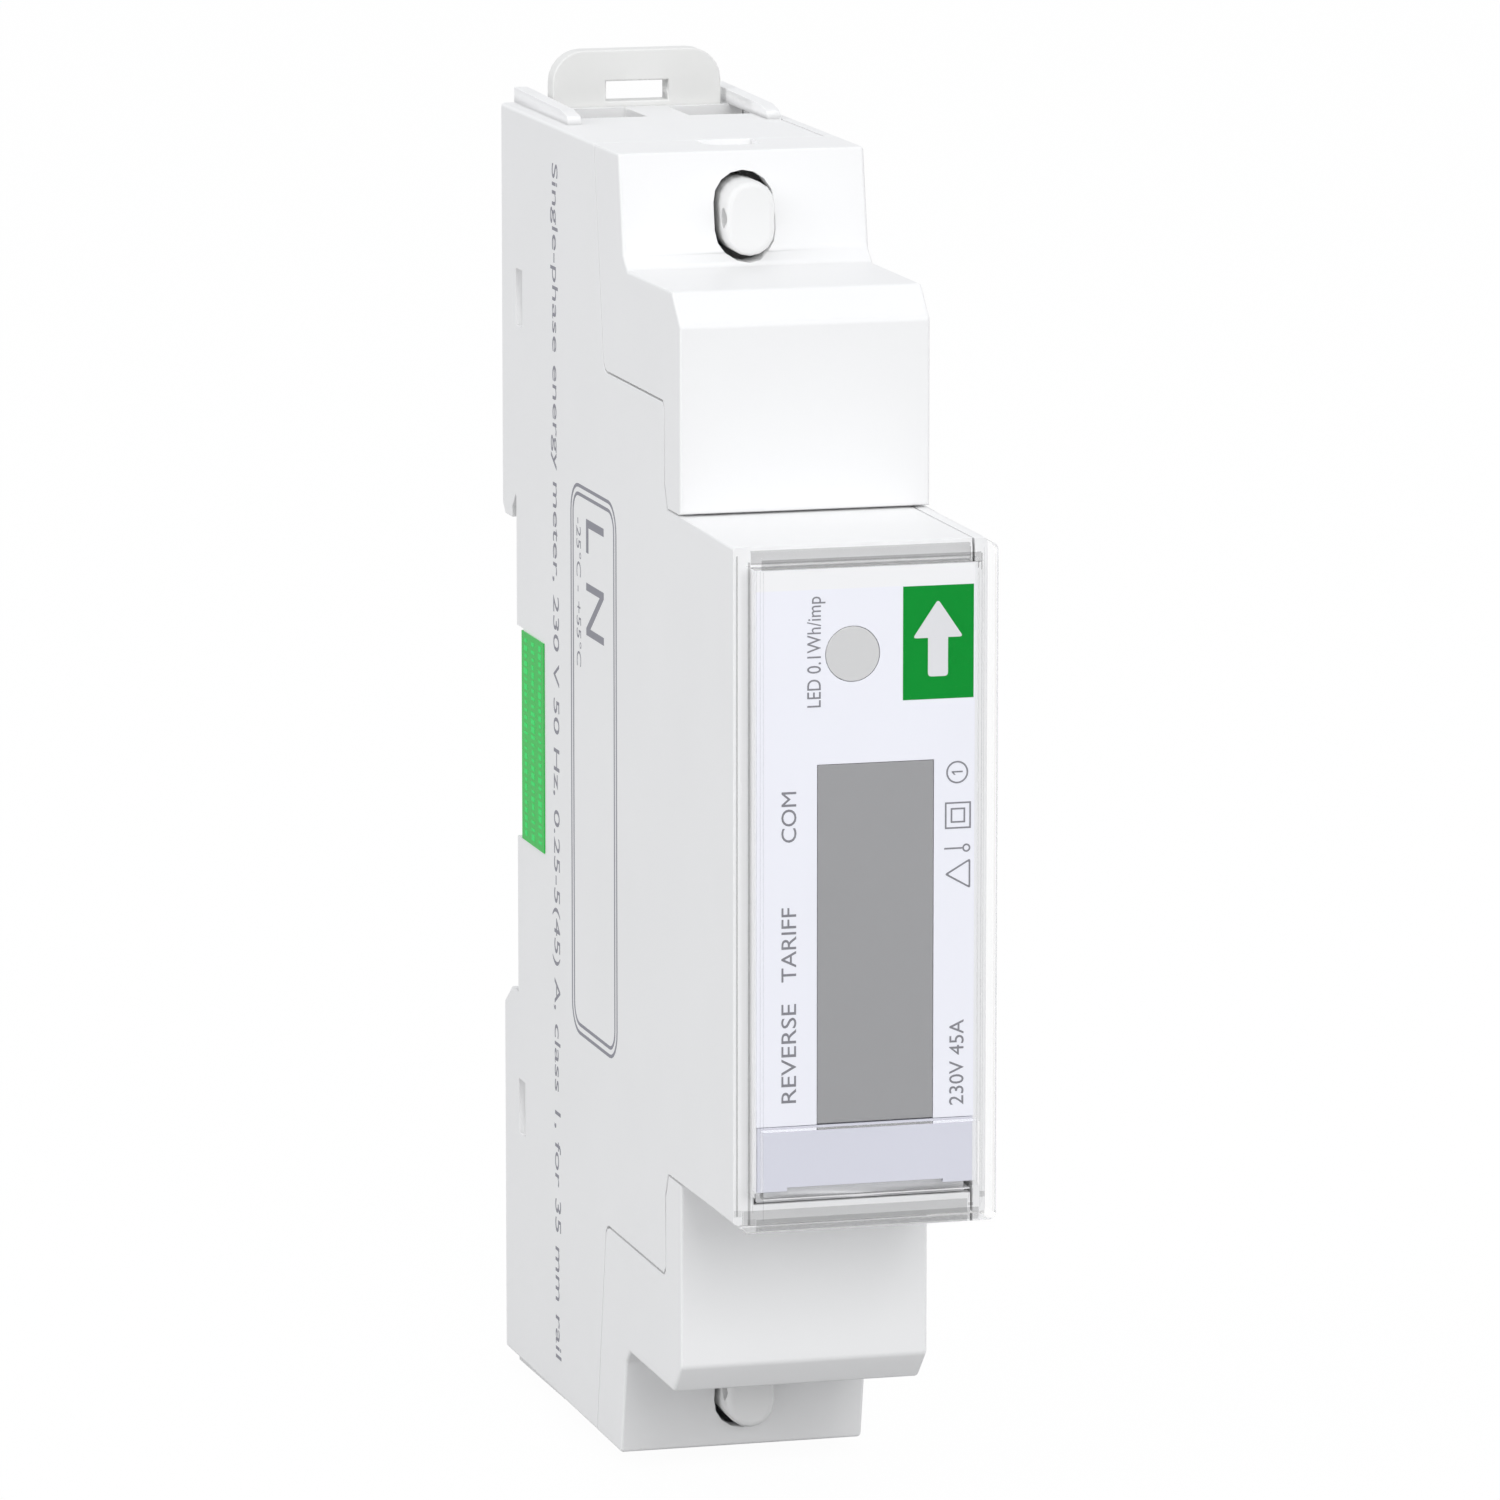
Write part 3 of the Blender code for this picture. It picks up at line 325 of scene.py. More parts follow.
def ink(name, colour):
    """Matt printing ink, a little uneven, that reflects less than the plastic."""
    return moulded(name, colour, lustre=0.6, grain=0.08, depth=0.002, mottling=0.05, ior=1.25)


def flat_mesh(curve):
    """A text or flat curve as a mesh in its own plane, the ink's thickness in z."""
    curve.extrude = ink_height / 2
    holder = bpy.data.objects.new("flat", curve)
    scene.collection.objects.link(holder)
    graph = bpy.context.evaluated_depsgraph_get()
    graph.update()
    mesh = bpy.data.meshes.new_from_object(holder.evaluated_get(graph))
    bpy.data.objects.remove(holder)
    return mesh


def lettering(text, cap, length, thin=0.0):
    """Letters whose capitals are cap high and whose line is length long, centred on zero."""
    line = bpy.data.curves.new("type", "FONT")
    line.body, line.size = text, cap / cap_height
    line.offset = -thin
    line.resolution_u = 4
    mesh = flat_mesh(line)
    low = min(v.co.x for v in mesh.vertices)
    high = max(v.co.x for v in mesh.vertices)
    for v in mesh.vertices:
        v.co.x = (v.co.x - (low + high) / 2) * length / (high - low)
        v.co.y -= cap / 2
    return mesh


def inked_shape(loops):
    """A flat figure from closed outlines; one inside another is a hole."""
    curve = bpy.data.curves.new("figure", "CURVE")
    curve.dimensions, curve.fill_mode = "2D", "BOTH"
    for points in loops:
        spline = curve.splines.new("POLY")
        spline.points.add(len(points) - 1)
        for point, (x, y) in zip(spline.points, points):
            point.co = (x, y, 0, 1)
        spline.use_cyclic_u = True
    return flat_mesh(curve)


def lay(name, mesh, spot, along, up, material):
    """Fix a flat mesh to a surface: spot in mm, along and up its own x and y directions."""
    along, up = Vector(along), Vector(up)
    out = along.cross(up)
    turn = Matrix((along, up, out)).transposed().to_4x4()
    place = Vector(spot) + out * ink_height / 2
    mesh.transform(Matrix.Scale(mm, 4) @ Matrix.Translation(place) @ turn)
    made = mesh_object(name, mesh, material)
    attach(made, "meter")


def rounded_loop(width, height, radius, steps=6):
    """A rectangle with round corners, centred on zero."""
    points = []
    for i, (sx, sy) in enumerate(((1, 1), (-1, 1), (-1, -1), (1, -1))):
        for k in range(steps + 1):
            angle = math.pi / 2 * (i + k / steps)
            points.append((sx * (width / 2 - radius) + radius * math.cos(angle),
                           sy * (height / 2 - radius) + radius * math.sin(angle)))
    return points


def on_left(depth, height):
    """A place on the left wall, from the rear face and the mid-height."""
    return (left_face, rear_face - depth, mid_height + height)


side_ink = ink("grey side ink", ink_grey)
down, forwards = (0, 0, -1), (0, -1, 0)
lay("side_data_line", lettering(data_line, 1.6, 86.0), on_left(15.8, 0), down, forwards,
    side_ink)
frame_length, frame_width, frame_corner = 39.3, 12.8, 2.2
line_edges = (0, 0.5, 1.2, 1.7)         # of the two printed lines, from outside
rings = [rounded_loop(frame_length - cut, frame_width - cut, frame_corner - cut / 2) for cut in line_edges]
lay("side_frame", inked_shape(rings), on_left(26.4, 1.65), down, forwards, side_ink)
lay("side_marks", lettering("L N", 5.0, 8.2), on_left(26.9, 15.0), down, forwards, side_ink)
lay("side_temperature", lettering("-25°C - +55°C", 1.2, 10.5, 0.01), on_left(22.3, 13.6), down,
    forwards, side_ink)

# ------------------------------------------------------------------------------ seal label
# A green security film bridges the tub's side and its rear pocket.  It is printed with close
# rows of fine lighter type, shown here as rows of dashes laid by Geometry Nodes.
seal_green, seal_light = (0.010, 0.57, 0.062), (0.075, 0.78, 0.19)
seal_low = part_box("seal_label")[0]
dash_rows, dash_count = 3, 26
dash_size = (ink_height * mm, 1.1 * mm, 0.42 * mm)
row_gap, dash_gap, dash_seed = 2.05, 0.56, 7


def tree_of(name, inputs):
    """A Geometry Nodes tree with a geometry in and out and named number inputs."""
    group = bpy.data.node_groups.new(name, "GeometryNodeTree")
    group.interface.new_socket("Geometry", in_out="INPUT", socket_type="NodeSocketGeometry")
    group.interface.new_socket("Geometry", in_out="OUTPUT", socket_type="NodeSocketGeometry")
    for key, value in inputs.items():
        kind = {"int": "NodeSocketInt", "float": "NodeSocketFloat", "tuple": "NodeSocketVector",
                "Material": "NodeSocketMaterial"}[type(value).__name__]
        group.interface.new_socket(key, in_out="INPUT", socket_type=kind).default_value = value
    return group, add(group, "NodeGroupInput").outputs


def close_tree(group, geometry, material):
    """Realize the instances, set the material and put the result out."""
    real = add(group, "GeometryNodeRealizeInstances", {"Geometry": geometry})
    done = add(group, "GeometryNodeSetMaterial", {"Geometry": real.outputs[0], "Material": material})
    add(group, "NodeGroupOutput", {"Geometry": done.outputs[0]})
    return group


def grown(name, group, material, mesh=None, **values):
    """A plain mesh object made by a Geometry Nodes tree with these input values."""
    made = mesh_object(name, mesh or bpy.data.meshes.new(name), material)
    modifier = made.modifiers.new("grow", "NODES")
    modifier.node_group = group
    for item in group.interface.items_tree:
        key = item.name.replace(" ", "_").lower()
        if item.in_out == "INPUT" and key in values:
            modifier[item.identifier] = values[key]
        elif item.in_out == "INPUT" and item.name == "Material":
            modifier[item.identifier] = material
    return settle(made)


def dash_tree(colour):
    """Rows of dashes of random length on a wall that faces -x."""
    group, given = tree_of("Rows of dashes", {"Rows": 3, "Dashes": 20, "Row gap": 2.0, "Dash gap": 0.6,
                                              "Dash size": (0.001, 0.001, 0.001), "Seed": 0,
                                              "Corner": (0.0, 0.0, 0.0), "Material": colour})
    grid = add(group, "GeometryNodeMeshGrid", {"Vertices X": given["Rows"], "Vertices Y": given["Dashes"]})
    number = add(group, "GeometryNodeInputIndex")
    column = add(group, "ShaderNodeMath", {0: number.outputs[0], 1: given["Dashes"]}, operation="MODULO")
    share = add(group, "ShaderNodeMath", {0: number.outputs[0], 1: given["Dashes"]}, operation="DIVIDE")
    row = add(group, "ShaderNodeMath", {0: share.outputs[0]}, operation="FLOOR")
    y = add(group, "ShaderNodeMath", {0: row.outputs[0], 1: given["Row gap"]}, operation="MULTIPLY")
    z = add(group, "ShaderNodeMath", {0: column.outputs[0], 1: given["Dash gap"]}, operation="MULTIPLY")
    spot = add(group, "ShaderNodeCombineXYZ", {"Y": y.outputs[0], "Z": z.outputs[0]})
    moved = add(group, "ShaderNodeVectorMath", {0: spot.outputs[0], 1: given["Corner"]}, operation="ADD")
    metres = add(group, "ShaderNodeVectorMath", {0: moved.outputs[0], "Scale": mm}, operation="SCALE")
    placed = add(group, "GeometryNodeSetPosition", {"Geometry": grid.outputs["Mesh"],
                                                    "Position": metres.outputs[0]})
    dash = add(group, "GeometryNodeMeshCube", {"Size": given["Dash size"]})
    size = add(group, "FunctionNodeRandomValue", {0: (1.0, 0.55, 0.35), 1: (1.0, 1.0, 1.1),
                                                  "Seed": given["Seed"]}, data_type="FLOAT_VECTOR")
    many = add(group, "GeometryNodeInstanceOnPoints", {"Points": placed.outputs[0],
                                                       "Instance": dash.outputs["Mesh"],
                                                       "Scale": size.outputs[0]})
    return close_tree(group, many.outputs[0], given["Material"])


def paint(node, material):
    """A CAD node keeps its shape and takes this material."""
    frame["nodes"][node].data.materials.clear()
    frame["nodes"][node].data.materials.append(material)


paint("seal_label", moulded("green security film", seal_green, lustre=0.28, grain=0.5, depth=0.003,
                            mottling=0.10))
seal_ink = ink("light green ink", seal_light)
first_dash = (seal_low.x / mm - ink_height / 2, seal_low.y / mm + 1.1, seal_low.z / mm + 0.6)
dashes = grown("seal_rows", dash_tree(seal_ink), seal_ink, rows=dash_rows, dashes=dash_count,
               row_gap=row_gap, dash_gap=dash_gap, dash_size=dash_size, seed=dash_seed, corner=first_dash)
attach(dashes, "meter")

# ------------------------------------------------------------------------------ rail clip
# The clip is moulded in tough acetal and slides in the tub's rear wall.  A coiled steel spring
# between the clip's seat and the tub's stop pushes it down behind the rail's upper edge.
soft_edged("din_clip", moulded("white acetal", (0.80, 0.80, 0.785), lustre=0.3, grain=0.35, depth=0.004),
           radius=0.14)
spring_low, spring_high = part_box("clip_spring")
spring_wire, spring_turns = 0.45, 7.0


def drawn_metal():
    """Bare metal with fine lines along x, y or z, and slight tarnish."""
    group = bpy.data.node_groups.new("Drawn metal", "ShaderNodeTree")
    sockets(group, {"Colour": (0.7, 0.7, 0.7, 1.0), "Lines x": 1.0, "Lines y": 1.0, "Lines z": 1.0,
                    "Polish": 0.3, "Tarnish": 0.1}, "INPUT")
    sockets(group, {"Colour": (0.7, 0.7, 0.7, 1.0), "Roughness": 0.3, "Height": 0.0}, "OUTPUT")
    given = add(group, "NodeGroupInput").outputs
    place = add(group, "ShaderNodeTexCoord").outputs["Object"]
    pull = add(group, "ShaderNodeCombineXYZ", {"X": given["Lines x"], "Y": given["Lines y"],
                                               "Z": given["Lines z"]})
    drawn = add(group, "ShaderNodeVectorMath", {0: place, 1: pull.outputs[0]}, operation="MULTIPLY")
    lines = add(group, "ShaderNodeTexNoise", {"Vector": drawn.outputs[0], "Scale": 5000.0, "Detail": 4.0})
    stains = add(group, "ShaderNodeTexNoise", {"Vector": place, "Scale": 400.0, "Detail": 3.0})
    deep = add(group, "ShaderNodeMath", {0: stains.outputs["Fac"], 1: given["Tarnish"]},
               operation="MULTIPLY")
    keep = add(group, "ShaderNodeMath", {0: 1.0, 1: deep.outputs[0]}, operation="SUBTRACT")
    tint = add(group, "ShaderNodeVectorMath", {0: given["Colour"], "Scale": keep.outputs[0]},
               operation="SCALE")
    dull = add(group, "ShaderNodeMath", {0: lines.outputs["Fac"], 1: 0.22, 2: given["Polish"]},
               operation="MULTIPLY_ADD")
    add(group, "NodeGroupOutput", {"Colour": tint.outputs[0], "Roughness": dull.outputs[0],
                                   "Height": lines.outputs["Fac"]})
    return group


metal_group = drawn_metal()


def metal(name, colour, lines=(1, 1, 1), polish=0.2, tarnish=0.12):
    """A bare or plated metal; lines below 1 stretch its marks along that axis."""
    material = bpy.data.materials.new(name)
    material.use_nodes = True
    tree = material.node_tree
    shader = tree.nodes["Principled BSDF"]
    shader.inputs["Metallic"].default_value = 1.0
    skin = add(tree, "ShaderNodeGroup", node_tree=metal_group)
    skin.inputs["Colour"].default_value = (*colour, 1.0)
    for axis, value in zip("xyz", lines):
        skin.inputs["Lines " + axis].default_value = value
    skin.inputs["Polish"].default_value = polish
    skin.inputs["Tarnish"].default_value = tarnish
    bump = add(tree, "ShaderNodeBump", {"Height": skin.outputs["Height"], "Distance": 0.002 * mm,
                                        "Strength": 0.5})
    for output, socket in ((skin.outputs["Colour"], "Base Color"), (skin.outputs["Roughness"], "Roughness"),
                           (bump.outputs["Normal"], "Normal")):
        tree.links.new(output, shader.inputs[socket])
    return material


def coil_tree(steel):
    """A round wire wound in a helix about z, from a foot upwards."""
    group, given = tree_of("Coiled wire", {"Turns": 7.0, "Radius": 1.0, "Rise": 7.0, "Wire": 0.4,
                                           "Foot": (0.0, 0.0, 0.0), "Material": steel})
    helix = add(group, "GeometryNodeCurveSpiral", {"Resolution": 28, "Rotations": given["Turns"],
                                                   "Start Radius": given["Radius"],
                                                   "End Radius": given["Radius"], "Height": given["Rise"]})
    half = add(group, "ShaderNodeMath", {0: given["Wire"], 1: 0.5}, operation="MULTIPLY")
    section = add(group, "GeometryNodeCurvePrimitiveCircle", {"Resolution": 12, "Radius": half.outputs[0]})
    wire = add(group, "GeometryNodeCurveToMesh", {"Curve": helix.outputs[0],
                                                  "Profile Curve": section.outputs[0], "Fill Caps": True})
    moved = add(group, "GeometryNodeTransform", {"Geometry": wire.outputs[0], "Translation": given["Foot"]})
    smooth = add(group, "GeometryNodeSetShadeSmooth", {"Geometry": moved.outputs[0]})
    return close_tree(group, smooth.outputs[0], given["Material"])


spring_steel = metal("bright spring steel", (0.62, 0.62, 0.62), polish=0.12, tarnish=0.06)
spring_middle = (spring_low + spring_high) / 2
spring = grown("clip_spring_wire", coil_tree(spring_steel), spring_steel, turns=spring_turns,
               radius=(spring_high.x - spring_low.x - spring_wire * mm) / 2,
               rise=spring_high.z - spring_low.z - spring_wire * mm, wire=spring_wire * mm,
               foot=(spring_middle.x, spring_middle.y, spring_low.z + spring_wire * mm / 2))
stand_for(spring, "clip_spring")
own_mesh(spring)

# ------------------------------------------------------------------------------ terminals
# Two insulating blocks close the terminal chambers.  Each holds a live and a neutral rising
# clamp of nickel-plated brass, driven by a zinc-plated screw, over a plain copper bar.
insulator = moulded("white insulator", (0.845, 0.845, 0.84), lustre=0.42, grain=0.25)
nickel = metal("nickel-plated brass", (0.72, 0.71, 0.665), lines=(1, 1, 0.1), polish=0.2)
zinc = metal("zinc-plated steel", (0.70, 0.71, 0.73), polish=0.18, tarnish=0.1)
copper = metal("copper strip", (0.78, 0.42, 0.27), lines=(1, 1, 0.05), polish=0.22, tarnish=0.2)
manganin = metal("manganin strip", (0.50, 0.43, 0.36), lines=(1, 1, 0.05), polish=0.3)
thread_pitch, thread_crest, thread_root = 0.7, 1.95, 1.62
thread_from, thread_to = 0.3, 0.6       # plain lengths left under the head and at the tip
thread_play, screw_crease = 0.02, 35    # mm round the crest, and degrees


def thread_tree(steel):
    """A screw thread wound round an axis along y, joined to the shank that comes in."""
    group, given = tree_of("Screw thread", {"Pitch": 0.7, "Crest": 2.0, "Depth": 0.3, "Length": 7.0,
                                            "Start": (0.0, 0.0, 0.0), "Material": steel})
    turns = add(group, "ShaderNodeMath", {0: given["Length"], 1: given["Pitch"]}, operation="DIVIDE")
    middle = add(group, "ShaderNodeMath", {0: given["Crest"], 1: given["Depth"]}, operation="SUBTRACT")
    helix = add(group, "GeometryNodeCurveSpiral", {"Resolution": 24, "Rotations": turns.outputs[0],
                                                   "Start Radius": middle.outputs[0],
                                                   "End Radius": middle.outputs[0],
                                                   "Height": given["Length"]})
    level = add(group, "GeometryNodeSetCurveNormal", {"Curve": helix.outputs[0]})
    level.mode = "Z_UP"
    ridge = add(group, "GeometryNodeCurvePrimitiveCircle", {"Resolution": 6, "Radius": given["Depth"]})
    wound = add(group, "GeometryNodeCurveToMesh", {"Curve": level.outputs[0],
                                                   "Profile Curve": ridge.outputs[0], "Fill Caps": True})
    laid = add(group, "GeometryNodeTransform", {"Geometry": wound.outputs[0], "Translation": given["Start"],
                                                "Rotation": (-math.pi / 2, 0, 0)})
    smooth = add(group, "GeometryNodeSetShadeSmooth", {"Geometry": laid.outputs[0]})
    joined = add(group, "GeometryNodeJoinGeometry")
    for part in (smooth.outputs[0], given["Geometry"]):
        group.links.new(part, joined.inputs[0])
    return close_tree(group, joined.outputs[0], given["Material"])


def screw(node, threads):
    """A slotted clamp screw: the solid's shank is cut to the root, then the thread is wound on."""
    low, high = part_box(node)
    x, z = (low.x + high.x) / 2, (low.z + high.z) / 2
    crest, root = thread_crest * mm, thread_root * mm
    bm = copy_of(node)
    under_head = min(v.co.y for v in bm.verts
                     if abs(math.hypot(v.co.x - x, v.co.z - z) - crest) < thread_play * mm)
    for v in bm.verts:
        if v.co.y > under_head - weld * mm:
            reach = math.hypot(v.co.x - x, v.co.z - z)
            if root < reach < crest + thread_play * mm:
                v.co.x = x + (v.co.x - x) * root / reach
                v.co.z = z + (v.co.z - z) * root / reach
    mesh = bpy.data.meshes.new(node)
    bm.to_mesh(mesh)
    bm.free()
    mesh.shade_smooth()
    mesh.set_sharp_from_angle(angle=math.radians(screw_crease))
    made = grown(node + "_threaded", threads, zinc, mesh, pitch=thread_pitch * mm, crest=crest,
                 depth=(thread_crest - thread_root) / 2 * mm,
                 length=high.y - under_head - (thread_from + thread_to) * mm,
                 start=(x, under_head + thread_from * mm, z))
    return stand_for(made, node)


thread_rule = thread_tree(zinc)
for end in ("top", "bottom"):
    soft_edged(f"terminal_block_{end}", insulator, radius=0.08)
    for wire in ("live", "neutral"):
        soft_edged(f"terminal_cage_{wire}_{end}", nickel, radius=0.09)
        screw(f"terminal_screw_{wire}_{end}", thread_rule)
for node in ("live_bar_top", "live_bar_bottom", "neutral_bar"):
    soft_edged(node, copper, radius=0.12)
soft_edged("current_shunt", manganin, radius=0.08)

# ------------------------------------------------------------------------------ boards
# The main board stands beside the left wall and the display board lies behind the bezel.
# Both are glass epoxy under green solder mask; reflowed tin joins the parts to them.
def board_material():
    """Solder mask over copper traces, which show as slightly lighter raised lines."""
    material = bpy.data.materials.new("green solder mask")
    material.use_nodes = True
    tree = material.node_tree
    shader = tree.nodes["Principled BSDF"]
    place = add(tree, "ShaderNodeTexCoord").outputs["Object"]
    traces = add(tree, "ShaderNodeTexBrick", {"Vector": place, "Scale": 350.0, "Mortar Size": 0.03,
                                              "Color1": (0.006, 0.085, 0.030, 1),
                                              "Color2": (0.008, 0.10, 0.036, 1),
                                              "Mortar": (0.02, 0.20, 0.07, 1)})
    weave = add(tree, "ShaderNodeTexNoise", {"Vector": place, "Scale": 900.0})
    dull = add(tree, "ShaderNodeMapRange", {"Value": weave.outputs["Fac"], "To Min": 0.2, "To Max": 0.4})
    bump = add(tree, "ShaderNodeBump", {"Height": traces.outputs["Fac"], "Distance": 0.03 * mm,
                                        "Strength": 0.6})
    tree.links.new(traces.outputs["Color"], shader.inputs["Base Color"])
    tree.links.new(dull.outputs[0], shader.inputs["Roughness"])
    tree.links.new(bump.outputs["Normal"], shader.inputs["Normal"])
    return material


def solder_tree(tin):
    """A low bead of solder on each point that comes in."""
    group, given = tree_of("Solder beads", {"Bead": 0.5, "Flatness": (1.0, 1.0, 1.0), "Material": tin})
    bead = add(group, "GeometryNodeMeshIcoSphere", {"Radius": given["Bead"], "Subdivisions": 2})
    many = add(group, "GeometryNodeInstanceOnPoints", {"Points": given["Geometry"],
                                                       "Instance": bead.outputs["Mesh"],
                                                       "Scale": given["Flatness"]})
    smooth = add(group, "GeometryNodeSetShadeSmooth", {"Geometry": many.outputs[0]})
    return close_tree(group, smooth.outputs[0], given["Material"])


solder_mask = board_material()
tin = metal("solder", (0.66, 0.67, 0.68), polish=0.22)
for node in ("main_board", "display_board"):
    soft_edged(node, solder_mask, radius=0.06)
board_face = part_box("main_board")[1].x
leads_a_side = {"metering_chip": 8, "microcontroller": 7, "memory_chip": 4, "bridge_rectifier": 2}
lead_inset = 0.1 * mm
joint_points = []
for node, count in leads_a_side.items():
    low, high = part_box(node)
    for i in range(count):
        z = low.z + (high.z - low.z) * (i + 0.5) / count
        joint_points += [(board_face, low.y + lead_inset, z), (board_face, high.y - lead_inset, z)]
joint_mesh = bpy.data.meshes.new("joints")
joint_mesh.from_pydata(joint_points, [], [])
beads = grown("board_solder", solder_tree(tin), tin, joint_mesh, bead=0.28 * mm, flatness=(0.45, 1.0, 1.0))
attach(beads, "meter")

black_epoxy = moulded("black moulded epoxy", (0.018, 0.018, 0.020), lustre=0.4, grain=0.12, depth=0.008,
                      mottling=0.2)
for node in ("metering_chip", "microcontroller", "memory_chip", "bridge_rectifier", "board_header",
             "switch_body"):
    soft_edged(node, black_epoxy, radius=0.06)
wound_black = moulded("black sleeve", (0.020, 0.020, 0.022), lustre=0.3, grain=0.6, depth=0.02)
sleeve = moulded("dark blue sleeve", (0.018, 0.022, 0.085), lustre=0.22, grain=0.8, depth=0.01, mottling=0.1)
yellow_case = moulded("yellow film capacitor case", (0.70, 0.50, 0.03), lustre=0.35, grain=0.3)
blue_coat = moulded("blue epoxy coat", (0.012, 0.055, 0.23), lustre=0.2, grain=1.2, depth=0.03, mottling=0.1)
grey_coat = moulded("grey-green lacquer", (0.40, 0.50, 0.38), lustre=0.35, grain=0.5, depth=0.02)
red_lens = moulded("red lamp body", (0.70, 0.05, 0.02), lustre=0.15, grain=0.6, depth=0.003)
red_acetal = moulded("red acetal", (0.52, 0.035, 0.018), lustre=0.35)
can_metal = metal("nickel silver can", (0.74, 0.74, 0.745), polish=0.15)
rubber = moulded("layered silicone", (0.055, 0.062, 0.075), lustre=0.6, grain=0.1, depth=0.01)
spreader_white = moulded("white acrylic", (0.86, 0.88, 0.90), lustre=0.2, grain=0.8)
for node, material in (("input_choke", wound_black), ("electrolytic_capacitor", sleeve),
                       ("film_capacitor", yellow_case), ("varistor", blue_coat),
                       ("fuse_resistor", grey_coat), ("pulse_led", red_lens),
                       ("switch_plunger", red_acetal), ("crystal", can_metal),
                       ("contact_strip_left", rubber), ("contact_strip_right", rubber),
                       ("lcd_backlight", spreader_white)):
    soft_edged(node, material, radius=0.08)

# ------------------------------------------------------------------------------ terminal covers
# Each terminal end is closed by a pull-off cover in the housing's white plastic.  A sealing
# post on the insulator block stands through the slot in its sloping face.
fold_levels = (38.2, 36.6)              # beside the crease where the slope meets the step
for end, side in (("top", 1), ("bottom", -1)):
    creases = [((0, 0, mid_height + side * level), (0, 0, 1)) for level in fold_levels]
    soft_edged(f"terminal_cover_{end}", white_plastic, folds=creases)

# ------------------------------------------------------------------------------ bezel and key
# The bezel is the white inner frame behind the clear window.  It carries the display, the
# rod that guides the pulse lamp's light, and the wide pale lilac key that scrolls the display,
# whose polariser is grey while it is off.
soft_edged("front_bezel", moulded("white bezel", (0.88, 0.88, 0.89), lustre=0.45), radius=0.06)
key_fit = 0.09              # the key's face closes most of the gap round it
key = soft_edged("scroll_key", moulded("pale lilac key", (0.70, 0.705, 0.785), lustre=0.35, grain=0.3),
                 radius=0.02)
key_low, key_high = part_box("scroll_key")
key_edge = 0.1 * mm
for v in key.data.vertices:
    if v.co.z > key_high.z - key_edge:
        v.co.z += key_fit * mm
    if v.co.x > key_high.x - key_edge:
        v.co.x += key_fit * mm
    if v.co.x < key_low.x + key_edge:
        v.co.x -= key_fit * mm
soft_edged("light_guide", moulded("diffusing acrylic", (0.66, 0.66, 0.66), lustre=0.3, grain=0.3,
                                  depth=0.001, mottling=0.004), radius=0.05, sharp=40)
polariser = moulded("display glass", (0.335, 0.335, 0.342), lustre=0.16, grain=0.25, depth=0.001)
polariser.node_tree.nodes["Principled BSDF"].inputs["Coat Weight"].default_value = 0.2
soft_edged("lcd_glass", polariser, radius=0.03)

# ------------------------------------------------------------------------------ face label
# A printed polyester film is glued to the bezel: white at its top edge, pale lilac below, with
# words beside the display, symbols at its right, and a green field with an arrow.
film_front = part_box("face_label")[0].y / mm
word_grey, arrow_grey = (0.26, 0.26, 0.285), (0.80, 0.80, 0.82)
field_green = (0.0, 0.285, 0.030)
film_white, film_lilac = (0.92, 0.92, 0.93), (0.905, 0.91, 0.975)
white_from = 20.06
upwards, leftwards, rightwards = (0, 0, 1), (-1, 0, 0), (1, 0, 0)


def film_material():
    """The film's ground colours, white above a line and lilac below it."""
    material = moulded("printed film", film_lilac, lustre=0.3, grain=0.4, depth=0.002)
    tree = material.node_tree
    shader = tree.nodes["Principled BSDF"]
    skin = next(n for n in tree.nodes if n.type == "GROUP")
    place = add(tree, "ShaderNodeTexCoord").outputs["Object"]
    height = add(tree, "ShaderNodeSeparateXYZ", {0: place})
    above = add(tree, "ShaderNodeMath", {0: height.outputs["Z"], 1: (mid_height + white_from) * mm},
                operation="GREATER_THAN")
    ground = add(tree, "ShaderNodeMix", {0: above.outputs[0]}, data_type="RGBA")
    tree.links.new(skin.outputs["Colour"], ground.inputs[6])
    ground.inputs[7].default_value = (*film_white, 1)
    tree.links.new(ground.outputs[2], shader.inputs["Base Color"])
    return material


def on_film(x, z, lift=0.0):
    """A place on the film, from mid-width and mid-height, lifted by whole skins of ink."""
    return (x, film_front - lift * ink_height, mid_height + z)


def word(name, text, x, z, cap):
    """A word that reads upwards; x and z are its (low, high) extents."""
    middle = on_film((x[0] + x[1]) / 2, (z[0] + z[1]) / 2)
    lay(name, lettering(text, cap, z[1] - z[0]), middle, upwards, leftwards, word_ink)


def symbol(name, loops, x, z):
    """A printed figure that stands the way the words read."""
    lay(name, inked_shape(loops), on_film(x, z), upwards, leftwards, word_ink)


def ring(radius, line, steps=32):
    """Two circles that leave a line between them."""
    return [[(r * math.cos(2 * math.pi * i / steps), r * math.sin(2 * math.pi * i / steps))
             for i in range(steps)] for r in (radius, radius - line)]


def square(half, line):
    """Two squares that leave a line between them."""
    return [[(-h, -h), (h, -h), (h, h), (-h, h)] for h in (half, half - line)]


def softened(points, radius, steps=5):
    """The clockwise outline with its outer corners rounded off."""
    done = []
    for i, point in enumerate(points):
        here = Vector(point)
        before, after = Vector(points[i - 1]) - here, Vector(points[(i + 1) % len(points)]) - here
        if before.cross(after) < 0:
            done.append(point)
            continue
        near = min(radius, before.length * 0.45, after.length * 0.45)
        a, b = here + before.normalized() * near, here + after.normalized() * near
        for k in range(steps + 1):
            t = k / steps
            done.append(tuple(a * (1 - t) ** 2 + here * 2 * t * (1 - t) + b * t ** 2))
    return done


